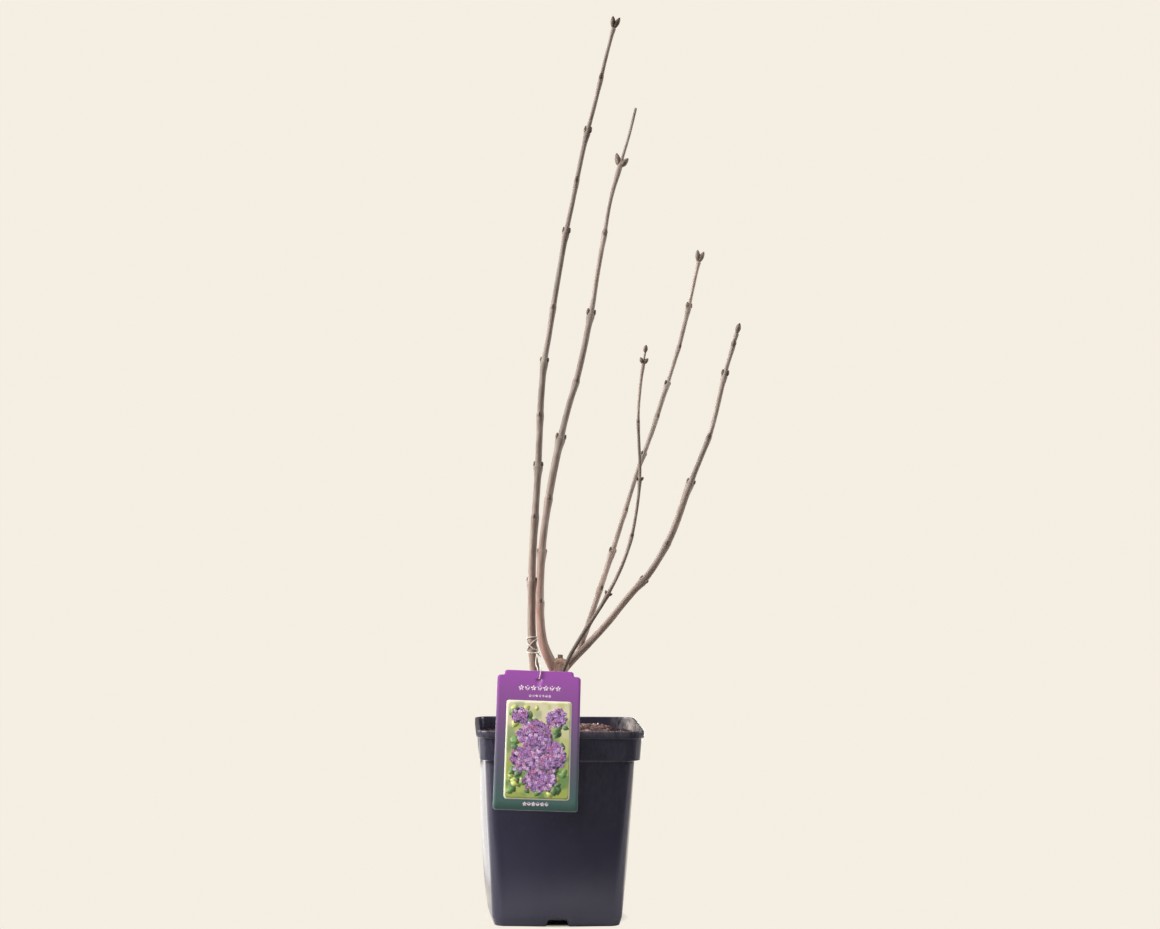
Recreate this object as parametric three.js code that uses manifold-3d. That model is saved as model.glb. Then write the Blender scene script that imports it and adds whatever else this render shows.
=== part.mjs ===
// A bare winter lilac in a square nursery pot, with a hanging plant label.
// Millimetres, +Z up, -Y is the front. The origin is the centre of the pot's standing face.
import * as THREE from 'three';
import { mergeVertices } from 'three/addons/utils/BufferGeometryUtils.js';
import Module from 'manifold-3d';

// ---------------------------------------------------------------- sizes

// Neighbouring solids stay this far apart.
const CLEARANCE = 0.3;

// The square pot. A half width is measured from the pot's axis to the middle of a side.
const POT_HEIGHT = 177;
const LIP_HALF_WIDTH = 75;
const LIP_HEIGHT = 5.1;
const COLLAR_TOP_HALF_WIDTH = 72.5;
const COLLAR_BOTTOM_HALF_WIDTH = 71;
const COLLAR_BOTTOM_Z = 151;
const BODY_TOP_HALF_WIDTH = 66.3;
const BODY_BOTTOM_HALF_WIDTH = 60.2;
const BODY_BOTTOM_Z = 9;
const FOOT_HALF_WIDTH = 56.6;
const FOOT_INNER_HALF_WIDTH = 52.2;
const WALL = 1.7;
const FLOOR_UNDERSIDE_Z = 6;
const FLOOR_THICKNESS = 2;
const CENTRE_PAD_RADIUS = 12;
const POT_CORNER_RADIUS = 12;
const CORNER_STEPS = 5;
const SIDE_STEPS = 4;
const WALL_BULGE = { depth: 4.5, fullness: 2.5, rings: 5 };
const NOTCH_WIDTH = 22;
const NOTCH_HEIGHT = 5.6;

// The potting soil, a low mound with a flat middle that the stem stands on.
const SOIL_EDGE_Z = 170.2;
const SOIL_MIDDLE_Z = 172.6;
const SOIL_FLAT_HALF_WIDTH = 20;

// The short trunk: its centre line, then its radius at heights above its foot.
const TRUNK_FOOT_Z = SOIL_MIDDLE_Z + CLEARANCE;
const TRUNK_LINE = [
  [-3, -1, TRUNK_FOOT_Z], [-3, -1, 181], [-2, 0, 200], [0, 0, 220], [1.6, 0.4, 238.5],
];
const ROOT_FLARE = { width: 5, height: 6, lobes: 5, depth: 0.16 };
const TRUNK_RADIUS = 7.4;
const BURL = { radius: 8.3, centreZ: 228, height: 22 };
const CROWN_ROUNDING = 5;
const CROWN_FLAT_SHARE = 0.12;
const STUB = { foot: [2.2, 1.5, 228], top: [2.7, 2, 241], radius: 2.2 };
const TRUNK_SIDES = 14;
const TRUNK_RINGS_ABOVE_FOOT = [0, 2, 4, 7, 11, 16, 24, 34, 44, 52, 58];
const TRUNK_RINGS_BELOW_TOP = [5, 3.5, 2, 0.8, 0];

// Each shoot: its centre line, the diameters of its wood, the heights at which its buds root, and
// the buds that end it. A turn is an angle round the stem, from +X towards the front.
const SHOOTS = [
  {
    name: 'shoot_tall',
    line: [
      [-4, -2, 177], [-20, -9, 212], [-24, -12, 246], [-25, -15, 318], [-20.5, -19, 414],
      [-16, -24, 510], [-2.5, -29, 594], [12, -33.5, 676], [28, -38, 746], [44.3, -42, 812],
    ],
    diameter: { base: 8.4, tip: 2.5, taper: 1.45, flare: 0.8 },
    nodes: [308, 367, 413, 460, 508.5, 558, 625.5, 673, 716.5, 765.5],
    firstTurn: 15,
    end: { buds: [[0, 11.4], [180, 11.4]], width: 3.9, lean: 18 },
    cutBy: 'trunk',
  },
  {
    name: 'shoot_inner',
    line: [
      [-1, 0, 222], [-7, 0, 235], [-13.5, 1, 251], [-16, 4, 280], [-14, 11, 337], [-5.5, 22, 403],
      [10.5, 33.5, 473], [27.5, 46, 544], [40, 57, 619], [51, 66, 678], [60, 71.5, 710], [72, 76, 754],
    ],
    diameter: { base: 8.2, tip: 1.9, taper: 1.5, flare: 1.0 },
    nodes: [288, 334, 383, 439, 489, 557, 633],
    firstTurn: 80,
    end: { buds: [[10, 10.8], [190, 13.6]], width: 4, lean: 31, height: 700 },
    cutBy: 'trunk',
  },
  {
    name: 'shoot_low_right',
    line: [
      [3, 0, 222], [12, 1, 232], [27, 2, 250], [55, -2, 283], [83, -6.5, 317],
      [104, -10.5, 355], [120, -14, 401], [137, -17, 443], [149, -19.5, 497], [160, -22, 537.5],
    ],
    diameter: { base: 5.2, tip: 2.7, taper: 0.9, flare: 3.0 },
    nodes: [309, 343.5, 398, 440, 500, 527],
    firstTurn: 8,
    end: { buds: [[0, 10.5]], width: 4.3, lean: 0 },
    cutBy: 'trunk',
  },
  {
    name: 'shoot_middle_right',
    line: [
      [19.5, 1.7, 241.5], [21.5, 5, 252], [26, 9, 263], [37, 19, 292], [55, 36.5, 347],
      [77.5, 55, 416], [92.5, 65, 455], [104.5, 72, 494], [120.5, 82, 546], [135.2, 92, 611.5],
    ],
    diameter: { base: 4.6, tip: 2.5, taper: 1.0, flare: 0.9 },
    nodes: [300, 334, 373, 425, 492, 528, 566],
    firstTurn: 75,
    end: { buds: [[0, 12], [180, 12.5]], width: 3.7, lean: 17 },
    cutBy: 'shoot_low_right',
  },
  {
    name: 'shoot_thin',
    line: [
      [0, -2, 212], [5.5, -9.5, 227], [11.5, -10, 239], [21.5, -9.5, 258], [38, -10, 284],
      [57, -16.5, 324], [67, -23, 358], [71.5, -33, 405], [69, -42, 452], [70.5, -49, 488], [74, -54, 518],
    ],
    diameter: { base: 3.2, tip: 2.3, taper: 1.0, flare: 0.4, neck: 1.3 },
    nodes: [269, 297, 351, 402, 455, 508.5],
    firstTurn: 60,
    end: { buds: [[0, 7.2]], width: 3.6, lean: 0 },
    cutBy: 'trunk',
  },
];

// A node swells slowly below its buds and narrows quickly above them. Its opposite buds are set
// a quarter turn on from the last pair, and grow a little towards the tip.
const NODE_SWELL = { height: 0.26, below: 5, above: 2 };
const BUD = { length: 5.6, width: 2.8, lean: 30, sunk: 0.42 };
const BUD_GROWTH = 0.3;
const END_BUD_SUNK = 1.2;
const BASE_FLARE_REACH = 18;
const SHOOT_SIDES = 8;
const RING_SPACING = 26;
const BUD_SIDES = 6;

// The hanging label: a thin card with stepped and scooped top corners, leaning out over the
// pot's front lip.
const LABEL = { width: 74, height: 127, thickness: 0.6, cornerRadius: 2.5 };
const LABEL_SHOULDER = { width: 4.8, drop: 5.2, cornerRadius: 3, scoopRadius: 2.7, edgeRadius: 1.3 };
const LABEL_MIDDLE = { x: -21, z: 168.1 };
const LABEL_LEAN = 18;
const LABEL_TWIST = -1.8;
const LABEL_HOLE = { radius: 2, below: 7 };

// The string: wraps round the tall shoot, a knot, and a loop through the label's hole.
const STRING_RADIUS = 0.5;
const WRAPS = [
  { z: 256.4, swing: 1.4, phase: 20 },
  { z: 250.3, swing: 5, phase: 60 },
  { z: 250.3, swing: -5, phase: 60 },
  { z: 244.2, swing: -1, phase: 0 },
];
const KNOT = { z: 242, turn: 50, radius: 1.5 };
const STRING_SIDES = 6;
const WRAP_STEPS = 12;
const LOOP_STEPS = 40;

// ---------------------------------------------------------------- materials

const finish = (color, roughness) => new THREE.MeshStandardMaterial({ color, roughness, metalness: 0 });
const MATERIALS = {
  blackPlastic: finish(0x2f2c38, 0.45),
  soil: finish(0x5c4033, 0.95),
  bark: finish(0x6e635a, 0.8),
  card: finish(0x8d5596, 0.4),
  string: finish(0xf2eee6, 0.9),
};

// ---------------------------------------------------------------- solids

const wasm = await Module();
wasm.setup();

const part = new THREE.Group();

// Merge a geometry's shared vertices and drop the triangles that fold to a line at its poles.
function closedGeometry(geometry) {
  const bare = geometry.clone();
  bare.deleteAttribute('normal');
  bare.deleteAttribute('uv');
  const merged = mergeVertices(bare, 1e-4);
  const index = merged.index.array;
  const kept = [];
  for (let i = 0; i < index.length; i += 3) {
    const [a, b, c] = [index[i], index[i + 1], index[i + 2]];
    if (a !== b && b !== c && c !== a) kept.push(a, b, c);
  }
  merged.setIndex(kept);
  return merged;
}

function toSolid(geometry) {
  const closed = closedGeometry(geometry);
  return new wasm.Manifold(new wasm.Mesh({
    numProp: 3,
    vertProperties: new Float32Array(closed.attributes.position.array),
    triVerts: new Uint32Array(closed.index.array),
  }));
}

function toGeometry(solid) {
  const mesh = solid.getMesh();
  const geometry = new THREE.BufferGeometry();
  geometry.setAttribute('position', new THREE.BufferAttribute(mesh.vertProperties, 3));
  geometry.setIndex(new THREE.BufferAttribute(mesh.triVerts, 1));
  geometry.computeVertexNormals();
  return geometry;
}

const joinAll = (geometries) => geometries.map(toSolid).reduce((whole, piece) => whole.add(piece));

function addNode(name, geometry, material) {
  const mesh = new THREE.Mesh(geometry, material);
  mesh.name = name;
  part.add(mesh);
  return mesh;
}

// ---------------------------------------------------------------- pot and soil

// The half width of the pot's outer wall at a height, up to the collar.
function bodyHalfWidth(z) {
  const share = (z - BODY_BOTTOM_Z) / (COLLAR_BOTTOM_Z - BODY_BOTTOM_Z);
  return BODY_BOTTOM_HALF_WIDTH + (BODY_TOP_HALF_WIDTH - BODY_BOTTOM_HALF_WIDTH) * share;
}

// How far the filled pot's soft wall bulges out at a height, in the middle of a side.
function wallBulge(z) {
  const share = (z - BODY_BOTTOM_Z) / (COLLAR_BOTTOM_Z - BODY_BOTTOM_Z);
  if (share <= 0 || share >= 1) return 0;
  return WALL_BULGE.depth * (1 - Math.abs(2 * share - 1) ** WALL_BULGE.fullness);
}

// The points of a rounded square: at each corner an arc, then steps along the next side, which
// bulges out most in its middle.
function squareOutline(halfWidth, cornerRadius, bulge) {
  const radius = Math.min(cornerRadius, halfWidth);
  const straight = halfWidth - radius;
  const points = [];
  for (let corner = 0; corner < 4; corner += 1) {
    const turn = corner * Math.PI / 2;
    const place = (x, y) => points.push([
      x * Math.cos(turn) - y * Math.sin(turn),
      x * Math.sin(turn) + y * Math.cos(turn),
    ]);
    for (let step = 0; step <= CORNER_STEPS; step += 1) {
      const angle = step / CORNER_STEPS * Math.PI / 2;
      place(straight + radius * Math.cos(angle), straight + radius * Math.sin(angle));
    }
    for (let step = 1; step < SIDE_STEPS; step += 1) {
      const along = 1 - 2 * step / SIDE_STEPS;
      place(straight * along, halfWidth + bulge * Math.cos(along * Math.PI / 2));
    }
  }
  return points;
}

// A lathe turned square: a profile of [half width, z, corner radius], bottom to top, that starts
// and ends on the axis, carried round a rounded square in place of a circle.
function squareLathe(profile) {
  const columns = 4 * (CORNER_STEPS + SIDE_STEPS);
  const geometry = new THREE.LatheGeometry(profile.map(([h, z]) => new THREE.Vector2(h, z)), columns);
  const position = geometry.attributes.position;
  profile.forEach(([halfWidth, z, cornerRadius], row) => {
    const outline = squareOutline(halfWidth, cornerRadius, halfWidth > 0 ? wallBulge(z) : 0);
    for (let column = 0; column <= columns; column += 1) {
      const [x, y] = outline[column % columns];
      position.setXYZ(column * profile.length + row, x, y, z);
    }
  });
  return geometry;
}

// The heights of the rings that shape the bulge, evenly between two heights.
function bulgeHeights(from, to) {
  const { rings } = WALL_BULGE;
  return Array.from({ length: rings }, (_, i) => from + (to - from) * (i + 1) / (rings + 1));
}

function makePot() {
  const outer = POT_CORNER_RADIUS;
  const inner = POT_CORNER_RADIUS - WALL;
  const lipBottom = POT_HEIGHT - LIP_HEIGHT;
  const rings = bulgeHeights(BODY_BOTTOM_Z, COLLAR_BOTTOM_Z);
  const shell = squareLathe([
    [0, 0, outer],
    [CENTRE_PAD_RADIUS, 0, outer],
    [CENTRE_PAD_RADIUS, FLOOR_UNDERSIDE_Z, outer],
    [FOOT_INNER_HALF_WIDTH, FLOOR_UNDERSIDE_Z, inner - 3],
    [FOOT_INNER_HALF_WIDTH, 0, inner - 3],
    [FOOT_HALF_WIDTH, 0, inner],
    [BODY_BOTTOM_HALF_WIDTH, BODY_BOTTOM_Z, outer],
    ...rings.map((z) => [bodyHalfWidth(z), z, outer]),
    [BODY_TOP_HALF_WIDTH, COLLAR_BOTTOM_Z, outer],
    [COLLAR_BOTTOM_HALF_WIDTH, COLLAR_BOTTOM_Z + 0.8, outer],
    [COLLAR_TOP_HALF_WIDTH, lipBottom, outer],
    [LIP_HALF_WIDTH, lipBottom, outer + 1],
    [LIP_HALF_WIDTH, POT_HEIGHT, outer + 1],
    [COLLAR_TOP_HALF_WIDTH - WALL, POT_HEIGHT, inner],
    [COLLAR_BOTTOM_HALF_WIDTH - WALL, COLLAR_BOTTOM_Z + WALL, inner],
    [BODY_TOP_HALF_WIDTH - WALL, COLLAR_BOTTOM_Z - WALL, inner],
    ...rings.toReversed().map((z) => [bodyHalfWidth(z) - WALL, z, inner]),
    [BODY_BOTTOM_HALF_WIDTH - WALL, FLOOR_UNDERSIDE_Z + FLOOR_THICKNESS, inner],
    [0, FLOOR_UNDERSIDE_Z + FLOOR_THICKNESS, inner],
  ]);
  let pot = toSolid(shell);
  const notchDepth = 2 * (BODY_BOTTOM_HALF_WIDTH - FOOT_INNER_HALF_WIDTH) + 4;
  for (let side = 0; side < 4; side += 1) {
    const notch = new THREE.BoxGeometry(notchDepth, NOTCH_WIDTH, 2 * NOTCH_HEIGHT);
    notch.translate(BODY_BOTTOM_HALF_WIDTH, 0, 0);
    notch.rotateZ(side * Math.PI / 2);
    pot = pot.subtract(toSolid(notch));
  }
  return toGeometry(pot);
}

// Turn every face of a geometry the other way.
function turnFaces(geometry) {
  const index = geometry.index.array;
  for (let i = 0; i < index.length; i += 3) [index[i], index[i + 1]] = [index[i + 1], index[i]];
  return geometry;
}

// The soil's profile runs down, as the pot's inner wall does, so that the facets of the two match.
function makeSoil() {
  const corner = POT_CORNER_RADIUS - WALL - CLEARANCE;
  const fill = (halfWidth) => halfWidth - WALL - CLEARANCE;
  const bottom = FLOOR_UNDERSIDE_Z + FLOOR_THICKNESS + CLEARANCE;
  const rings = bulgeHeights(BODY_BOTTOM_Z, COLLAR_BOTTOM_Z);
  const edge = fill(COLLAR_TOP_HALF_WIDTH) - 0.6;
  return turnFaces(closedGeometry(squareLathe([
    [0, SOIL_MIDDLE_Z, corner],
    [SOIL_FLAT_HALF_WIDTH, SOIL_MIDDLE_Z, corner],
    [(edge + SOIL_FLAT_HALF_WIDTH) / 2, (SOIL_EDGE_Z + 2 * SOIL_MIDDLE_Z) / 3, corner],
    [edge, SOIL_EDGE_Z, corner],
    [fill(COLLAR_BOTTOM_HALF_WIDTH), COLLAR_BOTTOM_Z + WALL + CLEARANCE, corner],
    [fill(BODY_TOP_HALF_WIDTH), COLLAR_BOTTOM_Z - WALL, corner],
    ...rings.toReversed().map((z) => [fill(bodyHalfWidth(z)), z, corner]),
    [fill(BODY_BOTTOM_HALF_WIDTH), bottom, corner],
    [0, bottom, corner],
  ])));
}

// ---------------------------------------------------------------- limbs

const toCurve = (line) => new THREE.CatmullRomCurve3(line.map((point) => new THREE.Vector3(...point)));

// The frame of a stem at a length along it: its centre, its direction, the side that faces +X
// and the side that faces the front.
function stemFrame(curve, length) {
  const u = Math.min(Math.max(length / curve.getLength(), 0), 1);
  const along = curve.getTangentAt(u);
  const side = new THREE.Vector3(1, 0, 0).addScaledVector(along, -along.x).normalize();
  const front = side.clone().cross(along);
  return { centre: curve.getPointAt(u), along, side, front };
}

// The length along a rising centre line at which it reaches a height.
function lengthAtHeight(curve, height) {
  let [low, high] = [0, 1];
  for (let i = 0; i < 40; i += 1) {
    const middle = (low + high) / 2;
    if (curve.getPointAt(middle).z < height) low = middle;
    else high = middle;
  }
  return low * curve.getLength();
}

// Bend a geometry turned about the Y axis, so that its Y runs along the centre line.
function bendAlong(geometry, curve) {
  const position = geometry.attributes.position;
  const point = new THREE.Vector3();
  for (let i = 0; i < position.count; i += 1) {
    const frame = stemFrame(curve, position.getY(i));
    point.copy(frame.centre);
    point.addScaledVector(frame.side, position.getX(i));
    point.addScaledVector(frame.front, position.getZ(i));
    position.setXYZ(i, point.x, point.y, point.z);
  }
  return geometry;
}

// A limb: a lathe profile of radius against length, bent along the centre line.
function makeLimb(curve, radiusAt, stations, sides, grow = 0) {
  const ends = [stations[0], stations[stations.length - 1]];
  const profile = [
    new THREE.Vector2(0, ends[0]),
    ...stations.map((length) => new THREE.Vector2(radiusAt(length) + grow, length)),
    new THREE.Vector2(0, ends[1]),
  ];
  return bendAlong(new THREE.LatheGeometry(profile, sides), curve);
}

// ---------------------------------------------------------------- trunk

function trunkRadius(curve, length) {
  const z = curve.getPointAt(Math.min(length / curve.getLength(), 1)).z;
  const flare = ROOT_FLARE.width * Math.exp(-length / ROOT_FLARE.height);
  const fromBurl = (z - BURL.centreZ) / (BURL.height / 2);
  const burl = (BURL.radius - TRUNK_RADIUS) * Math.exp(-(fromBurl ** 2));
  const toTop = Math.max(curve.getLength() - length, 0);
  const rounding = toTop < CROWN_ROUNDING
    ? Math.sqrt(Math.max(1 - (1 - toTop / CROWN_ROUNDING) ** 2, CROWN_FLAT_SHARE))
    : 1;
  return (TRUNK_RADIUS + flare + burl) * rounding;
}

// Spread the foot into root lobes that fade out a little way up the stem.
function lobeFoot(geometry) {
  const position = geometry.attributes.position;
  for (let i = 0; i < position.count; i += 1) {
    const [x, length, z] = [position.getX(i), position.getY(i), position.getZ(i)];
    const turn = Math.atan2(z, x);
    const fade = Math.exp(-length / (2 * ROOT_FLARE.height));
    const lobe = 1 + ROOT_FLARE.depth * fade * Math.cos(ROOT_FLARE.lobes * turn);
    position.setXYZ(i, x * lobe, length, z * lobe);
  }
  return geometry;
}

function makeTrunk(grow = 0) {
  const curve = toCurve(TRUNK_LINE);
  const length = curve.getLength();
  const stations = [...TRUNK_RINGS_ABOVE_FOOT, ...TRUNK_RINGS_BELOW_TOP.map((below) => length - below)];
  const profile = [
    new THREE.Vector2(0, 0),
    ...stations.map((station) => new THREE.Vector2(trunkRadius(curve, station) + grow, station)),
    new THREE.Vector2(0, length),
  ];
  const stem = bendAlong(lobeFoot(new THREE.LatheGeometry(profile, TRUNK_SIDES)), curve);
  const stubCurve = toCurve([STUB.foot, STUB.top]);
  const stubEnds = [0, stubCurve.getLength() + grow];
  const stub = makeLimb(stubCurve, () => STUB.radius, stubEnds, SHOOT_SIDES, grow);
  return joinAll([stem, stub]);
}

// ---------------------------------------------------------------- shoots and buds

// The wood's radius at a length along a shoot: a taper, a flare at its base, its swollen nodes,
// and a thin neck past the last node where it has one.
function shootRadius(shoot, curve, nodeLengths, length) {
  const { base, tip, taper, flare, neck } = shoot.diameter;
  const share = Math.min(length / curve.getLength(), 1);
  const lastNode = nodeLengths[nodeLengths.length - 1];
  const wood = neck && length > lastNode + NODE_SWELL.above
    ? neck
    : tip + (base - tip) * (1 - share) ** taper + flare * Math.exp(-length / BASE_FLARE_REACH);
  const swell = nodeLengths.reduce((sum, node) => {
    const reach = length < node ? NODE_SWELL.below : NODE_SWELL.above;
    return sum + NODE_SWELL.height * Math.exp(-(((length - node) / reach) ** 2));
  }, 0);
  return wood / 2 * (1 + swell);
}

// Rings below, at and above each node, and evenly between the nodes.
function shootStations(total, nodeLengths) {
  const marks = [0, ...nodeLengths, total];
  const stations = [0];
  for (let i = 1; i < marks.length; i += 1) {
    const [from, to] = [marks[i - 1], marks[i]];
    const between = Math.max(Math.round((to - from) / RING_SPACING), 1);
    for (let j = 1; j < between; j += 1) stations.push(from + (to - from) * j / between);
    if (i < marks.length - 1) stations.push(to - NODE_SWELL.below, to, to + 1.4 * NODE_SWELL.above);
  }
  stations.push(total);
  return stations.sort((a, b) => a - b).filter((s, i, all) => i === 0 || s - all[i - 1] > 1);
}

// A pointed bud: a spindle turned about its own length.
function makeBud(length, width) {
  const profile = [[0, 0], [0.4, 0.15], [0.5, 0.42], [0.3, 0.76], [0, 1]];
  const points = profile.map(([w, l]) => new THREE.Vector2(w * width, l * length));
  return new THREE.LatheGeometry(points, BUD_SIDES);
}

// Set a bud on a stem: its root at a distance from the centre, leaning out from the stem's direction.
function placeBud(bud, frame, turn, lean, fromCentre) {
  const angle = THREE.MathUtils.degToRad(turn);
  const tilt = THREE.MathUtils.degToRad(lean);
  const out = new THREE.Vector3()
    .addScaledVector(frame.side, Math.cos(angle))
    .addScaledVector(frame.front, Math.sin(angle));
  const axis = frame.along.clone().multiplyScalar(Math.cos(tilt)).addScaledVector(out, Math.sin(tilt));
  const spin = new THREE.Quaternion().setFromUnitVectors(new THREE.Vector3(0, 1, 0), axis);
  const root = frame.centre.clone().addScaledVector(out, fromCentre);
  bud.applyQuaternion(spin);
  bud.translate(root.x, root.y, root.z);
  return bud;
}

// The large buds that end a shoot, or that stand a little below its bare tip.
function makeEnd(shoot, curve) {
  const { buds, width, lean, height } = shoot.end;
  const length = height ? lengthAtHeight(curve, height) : curve.getLength();
  const frame = stemFrame(curve, length);
  frame.centre.addScaledVector(frame.along, -END_BUD_SUNK);
  const fromCentre = lean > 0 ? width / 6 : 0;
  return buds.map(([turn, budLength]) => placeBud(makeBud(budLength, width), frame, turn, lean, fromCentre));
}

// A shoot: its limb, an opposite pair of buds at each node, each pair a quarter turn on from
// the last, and what it ends in.
function makeShoot(shoot, grow = 0) {
  const curve = toCurve(shoot.line);
  const total = curve.getLength();
  const nodeLengths = shoot.nodes.map((height) => lengthAtHeight(curve, height));
  const radiusAt = (length) => shootRadius(shoot, curve, nodeLengths, length);
  const limb = makeLimb(curve, radiusAt, shootStations(total, nodeLengths), SHOOT_SIDES, grow);
  if (grow > 0) return toSolid(limb);
  const buds = nodeLengths.flatMap((length, i) => {
    const size = 1 + BUD_GROWTH * (length / total - 0.5);
    const frame = stemFrame(curve, length);
    return [0, 180].map((side) => placeBud(
      makeBud(BUD.length * size, BUD.width * size),
      frame,
      shoot.firstTurn + 90 * i + side,
      BUD.lean,
      radiusAt(length) - BUD.sunk * BUD.width * size,
    ));
  });
  return joinAll([limb, ...buds, ...makeEnd(shoot, curve)]);
}

// ---------------------------------------------------------------- label and string

// The label's frame: its middle sits so that its back face clears the lip's front edge.
function labelFrame() {
  const lean = THREE.MathUtils.degToRad(LABEL_LEAN);
  const twist = THREE.MathUtils.degToRad(LABEL_TWIST);
  const half = LABEL.thickness / 2;
  const above = LABEL_MIDDLE.z - POT_HEIGHT;
  const offset = (half + CLEARANCE) / Math.cos(lean);
  const middleY = -LIP_HALF_WIDTH - offset + above * Math.tan(lean);
  const middle = new THREE.Vector3(LABEL_MIDDLE.x, middleY, LABEL_MIDDLE.z);
  const stand = new THREE.Matrix4().makeRotationX(Math.PI / 2 - lean);
  const spin = new THREE.Matrix4().makeRotationZ(twist);
  return new THREE.Matrix4().makeTranslation(middle).multiply(stand).multiply(spin);
}

// The card's outline: each top corner drops to a shoulder by a small scoop.
function labelOutline() {
  const { width, height, cornerRadius } = LABEL;
  const { width: stepWidth, drop, cornerRadius: stepRadius, scoopRadius, edgeRadius } = LABEL_SHOULDER;
  const [side, top] = [width / 2, height / 2];
  const quarter = Math.PI / 2;
  const step = top - drop;
  const scoopX = side - stepWidth;
  const edgeX = scoopX - scoopRadius - edgeRadius;
  const shape = new THREE.Shape();
  shape.moveTo(-edgeX, top);
  shape.absarc(-edgeX, top - edgeRadius, edgeRadius, quarter, 2 * quarter, false);
  shape.absarc(-scoopX, step + scoopRadius, scoopRadius, 0, -quarter, true);
  shape.absarc(-side + stepRadius, step - stepRadius, stepRadius, quarter, 2 * quarter, false);
  shape.absarc(-side + cornerRadius, -top + cornerRadius, cornerRadius, 2 * quarter, 3 * quarter, false);
  shape.absarc(side - cornerRadius, -top + cornerRadius, cornerRadius, 3 * quarter, 4 * quarter, false);
  shape.absarc(side - stepRadius, step - stepRadius, stepRadius, 0, quarter, false);
  shape.absarc(scoopX, step + scoopRadius, scoopRadius, -quarter, -2 * quarter, true);
  shape.absarc(edgeX, top - edgeRadius, edgeRadius, 0, quarter, false);
  shape.closePath();
  const hole = new THREE.Path();
  hole.absarc(0, top - LABEL_HOLE.below, LABEL_HOLE.radius, 0, 2 * Math.PI, true);
  shape.holes.push(hole);
  return shape;
}

function makeLabel() {
  const card = new THREE.ExtrudeGeometry(labelOutline(), {
    depth: LABEL.thickness, steps: 1, bevelEnabled: false, curveSegments: 3,
  });
  card.translate(0, 0, -LABEL.thickness / 2);
  card.applyMatrix4(labelFrame());
  return toGeometry(toSolid(card));
}

// One wrap of string: a ring about the stem whose height swings once on its way round.
function makeWrap(curve, stemRadius, wrap) {
  const ring = stemRadius + CLEARANCE + STRING_RADIUS;
  const circle = [];
  for (let i = 0; i <= STRING_SIDES; i += 1) {
    const angle = 2 * Math.PI * i / STRING_SIDES;
    circle.push(new THREE.Vector2(ring + STRING_RADIUS * Math.cos(angle), STRING_RADIUS * Math.sin(angle)));
  }
  const geometry = new THREE.LatheGeometry(circle, WRAP_STEPS);
  const position = geometry.attributes.position;
  const phase = THREE.MathUtils.degToRad(wrap.phase);
  const middle = lengthAtHeight(curve, wrap.z);
  for (let i = 0; i < position.count; i += 1) {
    const turn = Math.atan2(position.getZ(i), position.getX(i));
    position.setY(i, position.getY(i) + middle + wrap.swing * Math.sin(turn + phase));
  }
  return bendAlong(geometry, curve);
}

// The loop: from the knot over the label's top edge, through the hole and back behind the card.
function makeLoop(knotCentre, frame) {
  const top = LABEL.height / 2;
  const seat = LABEL.thickness / 2 + CLEARANCE + STRING_RADIUS;
  const holeTop = top - LABEL_HOLE.below + LABEL_HOLE.radius - CLEARANCE - STRING_RADIUS;
  const onCard = (x, y, z) => new THREE.Vector3(x, y, z).applyMatrix4(frame);
  const front = onCard(1.6, top + 1.4, seat * 0.7);
  const behind = onCard(-1.4, top + 1.2, -seat - 0.4);
  const sag = new THREE.Vector3(0, 0, -1.5);
  const path = new THREE.CatmullRomCurve3([
    knotCentre.clone(),
    knotCentre.clone().lerp(front, 0.5).add(sag),
    front,
    onCard(1.2, top - 1.5, seat),
    onCard(0.4, holeTop + 1, seat),
    onCard(0, holeTop, 0),
    onCard(-0.4, holeTop + 1, -seat),
    onCard(-1.2, top - 1.5, -seat - 0.1),
    behind,
    knotCentre.clone().lerp(behind, 0.5).add(sag).add(new THREE.Vector3(-1.6, 0, 0)),
    knotCentre.clone().add(new THREE.Vector3(-0.6, 0, -0.6)),
  ], false, 'centripetal');
  return makeLimb(path, () => STRING_RADIUS, path.getLengths(LOOP_STEPS), STRING_SIDES);
}

function makeString(tallShoot) {
  const curve = toCurve(tallShoot.line);
  const radiusAt = (z) => shootRadius(tallShoot, curve, [], lengthAtHeight(curve, z));
  const wraps = WRAPS.map((wrap) => makeWrap(curve, radiusAt(wrap.z), wrap));
  const stem = stemFrame(curve, lengthAtHeight(curve, KNOT.z));
  const turn = THREE.MathUtils.degToRad(KNOT.turn);
  const out = radiusAt(KNOT.z) + CLEARANCE + KNOT.radius;
  const knotCentre = stem.centre.clone()
    .addScaledVector(stem.side, out * Math.cos(turn))
    .addScaledVector(stem.front, out * Math.sin(turn));
  const knot = new THREE.SphereGeometry(KNOT.radius, 8, 6);
  knot.translate(knotCentre.x, knotCentre.y, knotCentre.z);
  return toGeometry(joinAll([knot, ...wraps, makeLoop(knotCentre, labelFrame())]));
}

// ---------------------------------------------------------------- the whole

addNode('pot', makePot(), MATERIALS.blackPlastic);
addNode('soil', makeSoil(), MATERIALS.soil);
addNode('trunk', toGeometry(makeTrunk()), MATERIALS.bark);

// Each shoot ends a clear gap from the limb that it grows out of.
const cutters = {
  trunk: makeTrunk(CLEARANCE),
  shoot_low_right: makeShoot(SHOOTS.find((shoot) => shoot.name === 'shoot_low_right'), CLEARANCE),
};
for (const shoot of SHOOTS) {
  const solid = makeShoot(shoot).subtract(cutters[shoot.cutBy]);
  const pieces = solid.decompose().sort((a, b) => b.volume() - a.volume());
  addNode(shoot.name, toGeometry(pieces[0]), MATERIALS.bark);
}

addNode('label_card', makeLabel(), MATERIALS.card);
addNode('label_string', makeString(SHOOTS[0]), MATERIALS.string);

export default part;
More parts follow.
